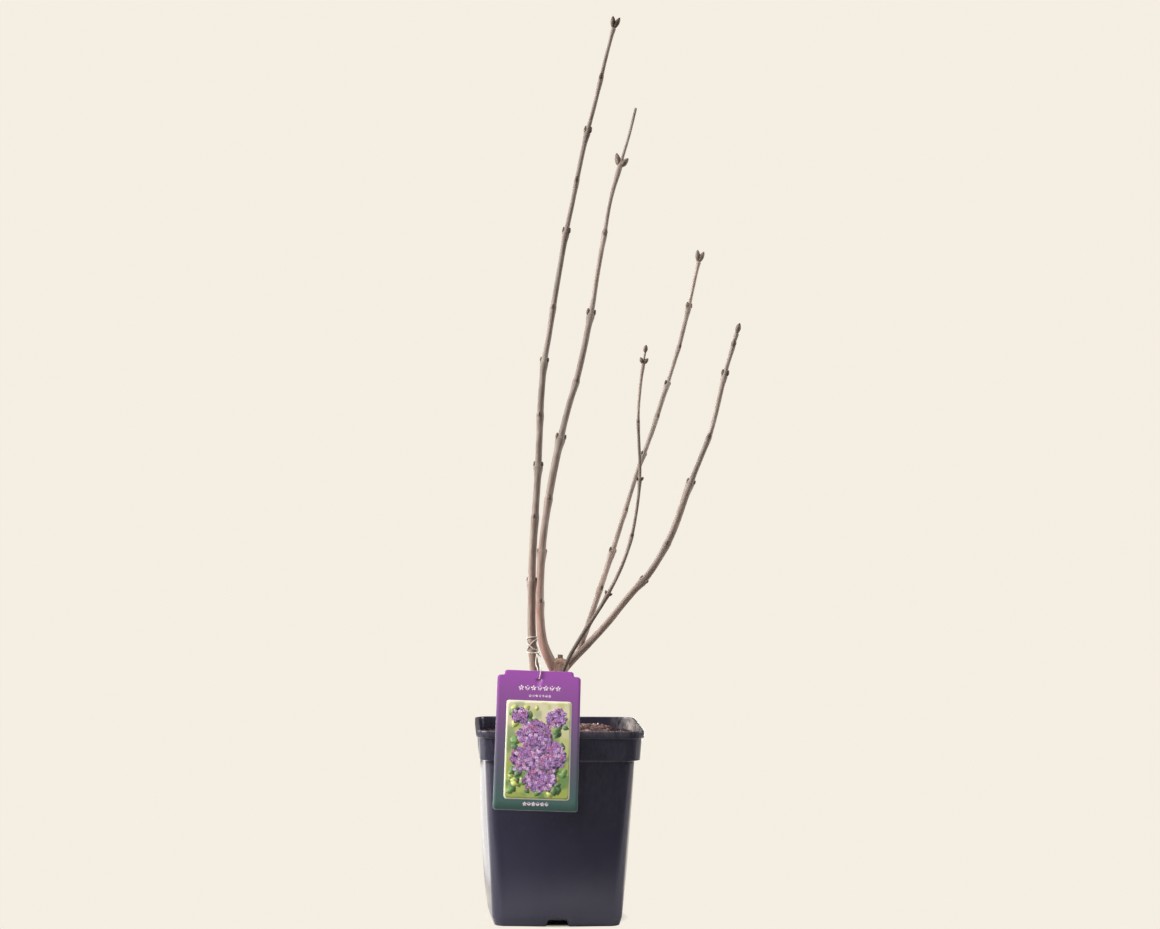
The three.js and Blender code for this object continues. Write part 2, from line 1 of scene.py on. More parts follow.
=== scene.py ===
"""A potted lilac in winter: bare budded shoots, a square nursery pot, and a hanging label.

Every size is in millimetres and becomes metres when a mesh is made. +Z is up, -Y is the front,
and the origin is the centre of the pot's standing face. Each piece is a numpy surface: a grid of
points worked out as whole arrays from a formula that its docstring gives in words.
"""

from __future__ import annotations

import logging
import math
from dataclasses import dataclass
from enum import Enum
from functools import cached_property
from typing import Sequence

import bmesh
import bpy
import numpy as np
from mathutils import Matrix, Vector

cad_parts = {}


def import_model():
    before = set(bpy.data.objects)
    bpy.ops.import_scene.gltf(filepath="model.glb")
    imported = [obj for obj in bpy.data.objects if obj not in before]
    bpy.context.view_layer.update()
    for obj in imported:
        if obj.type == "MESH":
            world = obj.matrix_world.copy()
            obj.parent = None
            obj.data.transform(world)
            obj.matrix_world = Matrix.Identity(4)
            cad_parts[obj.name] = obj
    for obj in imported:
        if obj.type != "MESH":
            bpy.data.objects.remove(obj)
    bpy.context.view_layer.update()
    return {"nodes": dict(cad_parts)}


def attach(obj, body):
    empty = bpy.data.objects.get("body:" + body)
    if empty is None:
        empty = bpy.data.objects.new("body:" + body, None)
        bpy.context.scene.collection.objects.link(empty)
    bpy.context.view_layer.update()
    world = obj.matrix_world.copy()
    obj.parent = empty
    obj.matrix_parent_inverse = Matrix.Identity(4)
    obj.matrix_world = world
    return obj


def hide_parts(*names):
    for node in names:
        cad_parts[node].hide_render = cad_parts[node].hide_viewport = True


LOG = logging.getLogger("potted_lilac")
MM = 0.001
TAU = 2.0 * math.pi
CLEARANCE = 0.3

Array = np.ndarray
Pair = tuple[float, float]
Triple = tuple[float, float, float]
Span = tuple[float, ...]
Socket = bpy.types.NodeSocket
Material = bpy.types.Material
Piece = bpy.types.Object


# ------------------------------------------------------------------ numbers and noise


def smoothstep(low: float, high: float, value: Array) -> Array:
    """Ease from 0 at low to 1 at high by 3t^2 - 2t^3. For a fall, low lies above high."""
    share = np.clip((value - low) / (high - low), 0.0, 1.0)
    return share * share * (3.0 - 2.0 * share)


def unit(vectors: Array) -> Array:
    """Vectors along the last axis, each scaled to length 1."""
    return vectors / np.linalg.norm(vectors, axis=-1, keepdims=True)


def bell(off: Array, reach: Array | float) -> Array:
    """A hump of height 1 at 0, which falls as e^-(off/reach)^2."""
    return np.exp(-((off / reach) ** 2))


def full_turn(count: int) -> Array:
    """Angles evenly round one turn, from 0."""
    return np.arange(count) * TAU / count


def circle(angle: Array) -> Array:
    """Points at angles on a circle of radius 1."""
    return np.stack([np.cos(angle), np.sin(angle)], -1)


def hash01(cells: Array, seed: int) -> Array:
    """A repeatable random number from 0 to 1 for each row of whole numbers.

    Each number is multiplied by its own large prime, the products are mixed by shifts and
    multiplications, and the low 24 bits are the answer.

    Args:
        cells: whole numbers, shape (..., k).
        seed: another whole number mixed in.

    Returns:
        Numbers from 0 to 1, shape (...).
    """
    primes = np.array([73856093, 19349663, 83492791, 49979687], np.int64)
    mixed = (cells.astype(np.int64) * primes[: cells.shape[-1]]).sum(-1) + seed * 2654435
    mixed = (mixed ^ (mixed >> 13)) * 1274126177 & 0x7FFFFFFF
    mixed = (mixed ^ (mixed >> 16)) * 374761393 & 0x7FFFFFFF
    return ((mixed ^ (mixed >> 9)) & 0xFFFFFF) / float(0xFFFFFF)


def value_noise(points: Array, seed: int) -> Array:
    """Smooth noise: random numbers at the corners of unit cubes, eased between them.

    Args:
        points: positions, shape (..., 3), in units of the noise's grain.
        seed: which noise.

    Returns:
        Values from -1 to 1, shape (...).
    """
    base = np.floor(points)
    share = points - base
    share = share * share * (3.0 - 2.0 * share)
    total = np.zeros(points.shape[:-1])
    for corner in range(8):
        offset = np.array([corner & 1, corner >> 1 & 1, corner >> 2 & 1])
        weight = np.where(offset == 1, share, 1.0 - share).prod(-1)
        total += weight * hash01(base + offset, seed)
    return 2.0 * total - 1.0


def layered_noise(points: Array, seed: int, layers: int = 3) -> Array:
    """Noise summed in layers, each twice as fine and half as strong as the last.

    Args:
        points: positions, shape (..., 3).
        seed: which noise.
        layers: how many layers.

    Returns:
        Values of about -1 to 1, shape (...).
    """
    total = np.zeros(points.shape[:-1])
    for layer in range(layers):
        total += value_noise(points * 2.0**layer, seed + layer) / 2.0**layer
    return total / 1.5


def spots(turn: Array, length: Array, cells_round: int, spacing: float, size: Pair,
          seed: int) -> Array:
    """Oval bumps strewn on a stem: one in each cell of a net round and along it.

    The bump is 1 - d^2 inside an oval, where d is the distance from its middle in units of the
    oval's half width and half length, and the middle lies at a random place in its cell.

    Args:
        turn: angle round the stem in radians.
        length: length along the stem in millimetres.
        cells_round: cells in one turn.
        spacing: a cell's length in millimetres.
        size: the oval's half width in cells and half length in millimetres.
        seed: which spots.

    Returns:
        Heights from 0 to 1 in the shape of turn.
    """
    across = turn / TAU * cells_round
    along = length / spacing
    height = np.zeros(np.broadcast(turn, length).shape)
    for step_across in (-1, 0, 1):
        for step_along in (-1, 0, 1):
            cell_u = np.floor(across) + step_across
            cell_v = np.floor(along) + step_along
            cell = np.stack(np.broadcast_arrays(cell_u % cells_round, cell_v), -1)
            middle_u = cell_u + 0.15 + 0.7 * hash01(cell, seed)
            middle_v = cell_v + 0.15 + 0.7 * hash01(cell, seed + 1)
            scale = 0.55 + 0.6 * hash01(cell, seed + 2)
            off_u = (across - middle_u) / (size[0] * scale)
            off_v = (along - middle_v) * spacing / (size[1] * scale)
            height = np.maximum(height, 1.0 - off_u**2 - off_v**2)
    return height


# ------------------------------------------------------------------ meshes


class MeshMaker:
    """Gathers grids of points into one mesh."""

    def __init__(self, name: str) -> None:
        """Start an empty mesh.

        Args:
            name: the name of its piece.
        """
        self.name = name
        self.points: list[Array] = []
        self.faces: list[tuple[Array, int]] = []
        self.carried: dict[str, list[Array]] = {}
        self.count = 0

    def grid(self, points: Array, caps: tuple[bool, bool] = (True, True), finish: int = 0,
             flip: bool | None = None, **carried: Array | float) -> "MeshMaker":
        """Add one grid of points, or many alike, as a surface of quads whose rows are rings.

        A cap closes the first or last row with a fan to its mean point. The faces are turned so
        that a closed surface has a positive volume.

        Args:
            points: shape (rows, columns, 3), or (items, rows, columns, 3).
            caps: whether the first and the last row are closed with a fan.
            finish: the index of the surface's material.
            flip: turn the faces round, or None to find out from the volume.
            carried: what each point carries, by attribute name: a number, or three where the
                value has as many axes as the points.

        Returns:
            This mesh maker.
        """
        items = points if points.ndim == 4 else points[None]
        count, rows, columns, _ = items.shape
        poles = [row for row, capped in ((0, caps[0]), (rows - 1, caps[1])) if capped]

        def with_poles(values: Array) -> Array:
            """Each grid's values as one row, and after them the mean of each capped row."""
            flat = values.reshape(count, rows * columns, *values.shape[3:])
            return np.concatenate([flat] + [values[:, row].mean(1)[:, None] for row in poles], 1)

        every = with_poles(items)
        size = every.shape[1]
        row, column = np.indices((rows - 1, columns)).reshape(2, -1)
        here, after = row * columns + column, row * columns + (column + 1) % columns
        quads = np.stack([here, after, after + columns, here + columns], -1)
        around = np.arange(columns)
        triangles = np.zeros((0, 3), int)
        for number, pole in enumerate(poles):
            ends = [around, (around + 1) % columns] if pole > 0 else [(around + 1) % columns, around]
            fan = [pole * columns + end for end in ends] + [np.full(columns, rows * columns + number)]
            triangles = np.concatenate([triangles, np.stack(fan, -1)])
        if flip is None:
            halves = np.concatenate([quads[:, [0, 1, 2]], quads[:, [0, 2, 3]], triangles])
            corners = every[0][halves] - every[0].mean(0)
            flip = np.einsum("ij,ij->i", corners[:, 0], np.cross(corners[:, 1], corners[:, 2])).sum() < 0
        if flip:
            quads, triangles = quads[:, ::-1], triangles[:, ::-1]

        starts = (self.count + size * np.arange(count))[:, None, None]
        self.points.append(every.reshape(-1, 3))
        for faces in (quads, triangles):
            self.faces.append(((faces + starts).reshape(-1, faces.shape[1]), finish))
        for key in sorted({*carried, *self.carried}):
            if key in carried:
                value = np.asarray(carried[key], float)
                whole = points.shape[: max(value.ndim, points.ndim - 1)]
                kind = whole[points.ndim - 1:]
                added = with_poles(np.broadcast_to(value, whole).reshape(*items.shape[:3], *kind))
                self.carried.setdefault(key, [np.zeros((self.count, *kind))])
            else:
                added = np.zeros((count, size, *self.carried[key][0].shape[1:]))
            self.carried[key].append(added.reshape(count * size, *added.shape[2:]))
        self.count += size * count
        return self

    def build(self, materials: Sequence[Material], sharp_degrees: float = 180.0) -> Piece:
        """Make the object, at the origin, with its place in its mesh.

        Args:
            materials: one for each finish index.
            sharp_degrees: edges that bend more than this stay sharp.

        Returns:
            The object, linked to the scene.
        """
        groups = sorted(self.faces, key=lambda group: -group[0].shape[1])
        finish = np.concatenate([np.full(len(faces), number, np.int32) for faces, number in groups])
        mesh = bpy.data.meshes.new(self.name)
        points = (np.concatenate(self.points) * MM).astype(np.float32)
        mesh.from_pydata(points, [], [face for faces, _ in groups for face in faces.tolist()])
        mesh.polygons.foreach_set("material_index", finish)
        mesh.shade_smooth()
        for key, values in self.carried.items():
            whole = np.concatenate(values).astype(np.float32)
            kind, field = ("FLOAT", "value") if whole.ndim == 1 else ("FLOAT_VECTOR", "vector")
            mesh.attributes.new(key, kind, "POINT").data.foreach_set(field, whole.ravel())
        mesh.validate()
        for material in materials:
            mesh.materials.append(material)
        if sharp_degrees < 180.0:
            mesh.set_sharp_from_angle(angle=math.radians(sharp_degrees))
        piece = bpy.data.objects.new(self.name, mesh)
        bpy.context.scene.collection.objects.link(piece)
        return piece


def place_piece(piece: Piece, slot: str, *nodes: str) -> Piece:
    """Ride a piece on the plant's one body, hide the nodes that it stands for, and log its slot.

    Args:
        piece: the finished object.
        slot: the name of its material slot, which is only logged.
        nodes: the frame's nodes that it replaces.

    Returns:
        The same object.
    """
    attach(piece, "root")
    if nodes:
        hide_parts(*nodes)
    LOG.info("%s: %d faces, slot %s, stands for %s", piece.name, len(piece.data.polygons), slot,
             ", ".join(nodes) or "nothing")
    return piece


# ------------------------------------------------------------------ materials


def linear(hex_colour: str) -> tuple[float, float, float, float]:
    """A colour as written on screen, #rrggbb, as linear red, green, blue and 1.

    Args:
        hex_colour: six hexadecimal digits after a hash sign.

    Returns:
        Four numbers for a colour socket.
    """
    channels = [int(hex_colour[i:i + 2], 16) / 255.0 for i in (1, 3, 5)]
    bent = [c / 12.92 if c <= 0.04045 else ((c + 0.055) / 1.055) ** 2.4 for c in channels]
    return bent[0], bent[1], bent[2], 1.0


def fill(socket: Socket, value: object) -> None:
    """Link a socket to another one, or set its value.

    Args:
        socket: an input.
        value: a socket, a value, or a colour as written on screen.
    """
    if isinstance(value, Socket):
        value.id_data.links.new(value, socket)
    else:
        socket.default_value = linear(value) if isinstance(value, str) else value


def inputs_of(node: bpy.types.Node) -> dict[str, Socket]:
    """A node's inputs by name, in lower case and with underscores for spaces."""
    return {socket.name.lower().replace(" ", "_"): socket for socket in reversed(node.inputs)}


class NodeTree:
    """A short way to write a material's nodes."""

    def __init__(self, name: str) -> None:
        """Make a material with one Principled shader on its output.

        Args:
            name: the material's name.
        """
        self.material = bpy.data.materials.new(name)
        self.material.use_nodes = True
        self.tree = self.material.node_tree
        self.shader = self.tree.nodes["Principled BSDF"]

    def node(self, kind: str, **settings: object) -> bpy.types.Node:
        """Add a node.

        Args:
            kind: Blender's type name without its ShaderNode start.
            settings: properties of the node, and values for its inputs by name.

        Returns:
            The node.
        """
        made = self.tree.nodes.new("ShaderNode" + kind)
        sockets = inputs_of(made)
        for key, value in settings.items():
            if hasattr(made, key) and key not in sockets:
                setattr(made, key, value)
            else:
                fill(sockets[key], value)
        return made

    def set(self, **values: object) -> None:
        """Set or link the shader's own sockets, by name."""
        sockets = inputs_of(self.shader)
        for key, value in values.items():
            fill(sockets[key], value)

    def carried(self, attribute: str, output: str = "Fac") -> Socket:
        """A number that the piece's points carry, or with Vector or Color as output three."""
        return self.node("Attribute", attribute_name=attribute).outputs[output]

    def place(self, across: float = 1.0, along: float = 1.0, attribute: str | None = None) -> Socket:
        """The object's own position or a carried one, scaled across on X and Y and along on Z."""
        source = self.carried(attribute, "Vector") if attribute else self.node("TexCoord").outputs["Object"]
        return self.node("Mapping", vector=source, scale=(across, across, along)).outputs["Vector"]

    def noise(self, grain: Pair, detail: float = 3.0, roughness: float = 0.55,
              attribute: str | None = None) -> Socket:
        """Noise from 0 to 1.

        Args:
            grain: its scale across, on X and Y, and along, on Z.
            detail: how many finer layers it has.
            roughness: how strong each finer layer is.
            attribute: the name of a carried position to read it at.

        Returns:
            The noise's socket.
        """
        at = self.place(*grain, attribute)
        made = self.node("TexNoise", vector=at, scale=1.0, detail=detail, roughness=roughness)
        return made.outputs["Factor" if "Factor" in made.outputs else "Fac"]

    def spread(self, value: Socket, low: float, high: float, to_low: float = 0.0,
               to_high: float = 1.0) -> Socket:
        """Stretch a span of values to another, and hold it there."""
        made = self.node("MapRange", value=value, from_min=low, from_max=high, to_min=to_low, to_max=to_high)
        return made.outputs["Result"]

    def coats(self, colour: object, *coats: tuple[Socket, object]) -> Socket:
        """Lay coats over a colour, one on the other.

        Args:
            colour: the ground, a colour or a socket.
            coats: the share from 0 to 1 in which each coat covers, and its colour.

        Returns:
            The mixed colour's socket.
        """
        for share, coat in coats:
            mix = self.node("Mix", data_type="RGBA")
            for index, value in ((0, share), (6, colour), (7, coat)):
                fill(mix.inputs[index], value)
            colour = mix.outputs[2]
        return colour

    def ramp(self, value: Socket, stops: Sequence[tuple[float, str]]) -> Socket:
        """Colours blended along a value.

        Args:
            value: where on the ramp, from 0 to 1.
            stops: places on the ramp in rising order, and their colours.

        Returns:
            The colour's socket.
        """
        made = self.node("ValToRGB", fac=value)
        elements = made.color_ramp.elements
        for element, (share, colour) in zip(tuple(elements), (stops[0], stops[-1])):
            element.position, element.color = share, linear(colour)
        for share, colour in stops[1:-1]:
            elements.new(share).color = linear(colour)
        return made.outputs["Color"]

    def sum(self, first: Socket, second: object, operation: str = "ADD") -> Socket:
        """Join two numbers by one operation of arithmetic.

        Args:
            first: a number's socket.
            second: a number or its socket.
            operation: Blender's name for the operation.

        Returns:
            The result's socket.
        """
        made = self.node("Math", operation=operation)
        for socket, value in zip(made.inputs, (first, second)):
            fill(socket, value)
        return made.outputs[0]

    def product(self, first: Socket, second: object) -> Socket:
        """Multiply two numbers."""
        return self.sum(first, second, "MULTIPLY")

    def bump(self, height: Socket, depth: float, strength: float = 1.0) -> None:
        """Link a bump of a depth in millimetres to the shader's normal."""
        made = self.node("Bump", height=height, distance=depth * MM, strength=strength)
        self.set(normal=made.outputs["Normal"])


# In the finishes a grain is a pattern's scale across and along. A span is the low and the high end
# of a pattern's values, and after them what the two ends become, if it isn't 0 and 1.


@dataclass(frozen=True)
class BarkFinish:
    """Young lilac bark: grey-brown with fine streaks along it, pale lenticels, a flush of red, and painted
    shade.
    """

    name: str
    dark: str
    mid: str
    pale: str
    flush: str
    streak_depth: float = 0.05
    stretch: float = 70.0
    lenticel: str = "#a89a8c"
    scar: str = "#3b322d"
    # The colour of painted shade, laid on by the carried number shade.
    shaded: str = "#4a3f37"
    streak_grain: float = 900.0
    fine_grain: Pair = (2600.0, 300.0)
    patch_grain: Pair = (160.0, 40.0)
    pale_span: Span = (0.32, 0.68)
    dark_span: Span = (0.42, 0.70, 0.0, 0.7)
    flush_span: Span = (0.3, 0.7, 0.6, 1.0)
    lenticel_span: Span = (0.15, 0.8, 0.0, 0.5)
    roughness_span: Span = (0.3, 0.7, 0.55, 0.72)

    def make(self) -> Material:
        """Write the nodes. They read the carried position grain, and flush, shade, scar and spot.

        Returns:
            The material.
        """
        tree = NodeTree(self.name)
        streak = tree.noise((self.streak_grain, self.stretch), 5.0, 0.65, "grain")
        patch = tree.noise(self.patch_grain, attribute="grain")
        fine = tree.noise(self.fine_grain, 4.0, 0.7, "grain")
        colour = tree.coats(
            self.mid,
            (tree.spread(patch, *self.pale_span), self.pale),
            (tree.spread(streak, *self.dark_span), self.dark),
            (tree.product(tree.carried("flush"), tree.spread(patch, *self.flush_span)), self.flush),
            (tree.carried("shade"), self.shaded),
            (tree.spread(tree.carried("spot"), *self.lenticel_span), self.lenticel),
            (tree.carried("scar"), self.scar),
        )
        roughness = tree.spread(patch, *self.roughness_span)
        tree.set(base_color=colour, roughness=roughness, specular_ior_level=0.35)
        tree.bump(tree.sum(streak, fine), self.streak_depth)
        return tree.material


@dataclass(frozen=True)
class BudFinish:
    """Bud scales: dark brown, greener towards the middle of a scale and pale along its dry edge."""

    name: str
    dark: str = "#3a2c26"
    mid: str = "#5d4a3c"
    edge: str = "#8c7460"
    pale: str = "#a3917f"
    grain: Pair = (700.0, 300.0)
    mottle_span: Span = (0.35, 0.7)
    edge_share: float = 0.7
    tip_share: float = 0.6
    depth: float = 0.04

    def make(self) -> Material:
        """Write the nodes. They read the carried position grain and the numbers edge, tip and pale.

        Returns:
            The material.
        """
        tree = NodeTree(self.name)
        mottle = tree.noise(self.grain, 4.0, 0.6, "grain")
        colour = tree.coats(
            self.dark,
            (tree.spread(mottle, *self.mottle_span), self.mid),
            (tree.product(tree.carried("edge"), self.edge_share), self.edge),
            (tree.product(tree.carried("tip"), self.tip_share), self.dark),
            (tree.carried("pale"), self.pale),
        )
        tree.set(base_color=colour, roughness=0.48, specular_ior_level=0.4)
        tree.bump(mottle, self.depth)
        return tree.material


@dataclass(frozen=True)
class PlasticFinish:
    """Black moulded plastic with a soft sheen, faint scuffs, and dust where soil has touched it, which on the
    inner right wall is also painted light.
    """

    name: str
    base: str = "#313041"
    scuff: str = "#3a394a"
    dust: str = "#b9afa5"
    cloud_grain: Pair = (18.0, 10.0)
    fine_grain: Pair = (260.0, 120.0)
    mould_grain: Pair = (1500.0, 1500.0)
    scuff_span: Span = (0.3, 0.75)
    rub_span: Span = (0.60, 0.78)
    rub_cloud_span: Span = (0.35, 0.7)
    rub_share: float = 0.03
    smear_span: Span = (0.32, 0.60)
    roughness_span: Span = (0.3, 0.75, 0.15, 0.24)
    sheen_tint: tuple[float, float, float, float] = (0.82, 0.84, 1.0, 1.0)
    depth: float = 0.01

    def make(self) -> Material:
        """Write the nodes. They read Object coordinates, and the carried number for dust, which on the inner
        right wall is also painted light.

        Returns:
            The material.
        """
        tree = NodeTree(self.name)
        cloud = tree.noise(self.cloud_grain, 4.0)
        fine = tree.noise(self.fine_grain, 5.0, 0.7)
        mould = tree.noise(self.mould_grain, 2.0)
        rub = tree.product(tree.spread(fine, *self.rub_span), tree.spread(cloud, *self.rub_cloud_span))
        colour = tree.coats(
            self.base,
            (tree.spread(cloud, *self.scuff_span), self.scuff),
            (tree.product(rub, self.rub_share), self.dust),
            # Dust where the carried number says, which on the inner right wall is also painted light.
            (tree.product(tree.carried("dust"), tree.spread(fine, *self.smear_span)), self.dust),
        )
        tree.set(base_color=colour, roughness=tree.spread(fine, *self.roughness_span), specular_ior_level=0.5,
                 specular_tint=self.sheen_tint)
        tree.bump(tree.sum(mould, tree.product(fine, 2.0)), self.depth, 0.4)
        return tree.material


@dataclass(frozen=True)
class SoilFinish:
    """Damp potting soil. Each crumb carries its own tone from dark peat to reddish bark, lowered near the
    side walls as painted shade.
    """

    name: str
    stops: tuple[tuple[float, str], ...] = ((0.0, "#3a2b28"), (0.5, "#7a5d5b"), (1.0, "#b0948b"))
    grain: Pair = (900.0, 900.0)
    grit_span: Span = (0.2, 0.8, -0.3, 0.3)
    depth: float = 0.25

    def make(self) -> Material:
        """Write the nodes. They read Object coordinates and the carried number tone.

        Returns:
            The material.
        """
        tree = NodeTree(self.name)
        grit = tree.noise(self.grain, 5.0, 0.7)
        tone = tree.sum(tree.carried("tone"), tree.spread(grit, *self.grit_span))
        tree.set(base_color=tree.ramp(tone, self.stops), roughness=0.93, specular_ior_level=0.2)
        tree.bump(grit, self.depth)
        return tree.material


@dataclass(frozen=True)
class PlainFinish:
    """One colour with a little mottle, for perlite, card edges and other small things."""

    name: str
    colour: str
    mottle: str
    roughness: float
    grain: float = 600.0
    depth: float = 0.03
    mottle_span: Span = (0.35, 0.7)

    def make(self) -> Material:
        """Write the nodes. They read Object coordinates.

        Returns:
            The material.
        """
        tree = NodeTree(self.name)
        noise = tree.noise((self.grain, self.grain), 4.0, 0.6)
        colour = tree.coats(self.colour, (tree.spread(noise, *self.mottle_span), self.mottle))
        tree.set(base_color=colour, roughness=self.roughness)
        tree.bump(noise, self.depth)
        return tree.material


@dataclass(frozen=True)
class CardFinish:
    """Printed glossy card: a wash of colour down its height, with a faint print grain."""

    name: str
    stops: tuple[tuple[float, str], ...]
    bottom: float
    top: float
    grain: Pair = (4.0, 4.0)
    fade: str = "#ffffff"
    fade_span: Span = (0.4, 0.7, 0.0, 0.06)
    depth: float = 0.01

    def make(self) -> Material:
        """Write the nodes. They read the carried position sheet, which is millimetres on the card.

        Returns:
            The material.
        """
        tree = NodeTree(self.name)
        height = tree.node("SeparateXYZ", vector=tree.carried("sheet", "Vector")).outputs["Y"]
        wash = tree.ramp(tree.spread(height, self.bottom, self.top), self.stops)
        dots = tree.noise(self.grain, 2.0, attribute="sheet")
        faded = tree.coats(wash, (tree.spread(dots, *self.fade_span), self.fade))
        tree.set(base_color=faded, roughness=0.4, specular_ior_level=0.35)
        tree.bump(dots, self.depth)
        return tree.material


@dataclass(frozen=True)
class InkFinish:
    """Print on the label: each shape carries its own colour."""

    name: str
    grain: Pair = (1.1, 1.1)
    fade: str = "#fff6f0"
    fade_span: Span = (0.35, 0.75, 0.0, 0.22)

    def make(self) -> Material:
        """Write the nodes. They read the carried colour ink and the carried position sheet.

        Returns:
            The material.
        """
        tree = NodeTree(self.name)
        mottle = tree.noise(self.grain, 4.0, 0.6, "sheet")
        colour = tree.coats(tree.carried("ink", "Color"), (tree.spread(mottle, *self.fade_span), self.fade))
        tree.set(base_color=colour, roughness=0.4, specular_ior_level=0.35)
        return tree.material


@dataclass(frozen=True)
class StringFinish:
    """White cotton string: matt, with painted shade in the grooves between its plies."""

    name: str
    thread: str = "#f1ece2"
    groove_shade: str = "#b9afa0"
    fuzz_grain: Pair = (5000.0, 5000.0)
    depth: float = 0.05

    def make(self) -> Material:
        """Write the nodes. They read the carried number ply, and Object coordinates.

        Returns:
            The material.
        """
        tree = NodeTree(self.name)
        # Painted shade: where ply is low, in the grooves, the string takes the darker colour.
        colour = tree.coats(self.groove_shade, (tree.carried("ply"), self.thread))
        tree.set(base_color=colour, roughness=0.9, specular_ior_level=0.2, sheen_weight=0.3)
        tree.bump(tree.noise(self.fuzz_grain, 3.0, 0.7), self.depth)
        return tree.material


# ------------------------------------------------------------------ the pot and its soil


@dataclass(frozen=True)
class SquareForm:
    """The plan of the pot: a rounded square whose soft walls bulge out at mid height."""

    bottom_half: float = 58.9
    top_half: float = 67.4
    bottom_z: float = 9.0
    collar_z: float = 149.5
    bulge_depth: float = 5.5
    bulge_fullness: float = 3.2
    bulge_span: Pair = (-10.0, 168.0)
    right_flatness: float = 0.25
    corner_steps: int = 12
    side_steps: int = 34

    def body_half(self, z: Array) -> Array:
        """The body's half width at a height: a straight taper from the foot to the collar."""
        share = (z - self.bottom_z) / (self.collar_z - self.bottom_z)
        return self.bottom_half + (self.top_half - self.bottom_half) * share

    def bulge(self, z: Array) -> Array:
        """How far mid-side stands out: depth times 1 - |2s - 1|^fullness of the share s of its span."""
        share = (z - self.bulge_span[0]) / (self.bulge_span[1] - self.bulge_span[0])
        return self.bulge_depth * np.maximum(1.0 - np.abs(2.0 * share - 1.0) ** self.bulge_fullness, 0.0)

    def plan(self) -> tuple[Array, Array, Array]:
        """Each column's place in the plan: a corner's arc and the side after it, four times.

        Returns:
            The place on a square of half width 1 that the arcs' middles lie on, the direction in
            which the corner radius is laid off, and the share along a side from 1 to -1.
        """
        arc = np.linspace(0.0, math.pi / 2, self.corner_steps + 1)
        side = 1.0 - 2.0 * np.arange(1, self.side_steps) / self.side_steps
        along = np.concatenate([np.ones_like(arc), side])
        angle = np.concatenate([arc, np.full_like(side, math.pi / 2)])
        square = np.column_stack([along, np.ones_like(along)])
        outward = np.column_stack([np.cos(angle), np.sin(angle)])
        quarter = np.array([[0.0, -1.0], [1.0, 0.0]])
        turns = [np.linalg.matrix_power(quarter, count).T for count in range(4)]
        square, outward = (np.concatenate([part @ turn for turn in turns]) for part in (square, outward))
        return square, outward, np.tile(along, 4)

    def carry(self, half: Array, z: Array, radius: Array, bulge: Array) -> Array:
        """Carry a profile round the plan.

        A point of the plan is its column's place on the square of the arcs' middles, plus the
        corner radius along its outward direction, plus the bulge times the cosine of its share
        along the side. The side that faces +X bulges less.

        Args:
            half: half widths, one for each row.
            z: heights.
            radius: corner radii.
            bulge: how far mid-side stands out.

        Returns:
            Points, shape (rows, columns, 3).
        """
        square, outward, along = self.plan()
        radius = np.minimum(radius, half)[:, None]
        fullness = np.cos(along * math.pi / 2) * (1.0 - self.right_flatness * np.maximum(outward[:, 0], 0.0))
        reach = (radius + bulge[:, None] * fullness)[..., None]
        level = (half[:, None] - radius)[..., None] * square + reach * outward
        return np.concatenate([level, np.broadcast_to(z[:, None, None], (*level.shape[:2], 1))], -1)


def rounded(before: Array, corner: Array, after: Array, radius: float, steps: int = 4) -> Array:
    """Points of a small round at a corner of a profile: a curve with the corner as its middle pull.

    Args:
        before: a point before the corner.
        corner: the sharp corner.
        after: a point after it.
        radius: how far from the corner the round starts and ends, or 0 for the bare corner.
        steps: how many spans it has.

    Returns:
        Points along (1-t)^2 A + 2t(1-t) C + t^2 B, where A and B lie at the radius from C.
    """
    if radius <= 0.0:
        return corner[None]
    first, last = (corner + (end - corner) / np.linalg.norm(end - corner) * radius for end in (before, after))
    t = np.linspace(0.0, 1.0, steps + 1)[:, None]
    return (1 - t) ** 2 * first + 2 * t * (1 - t) * corner + t**2 * last


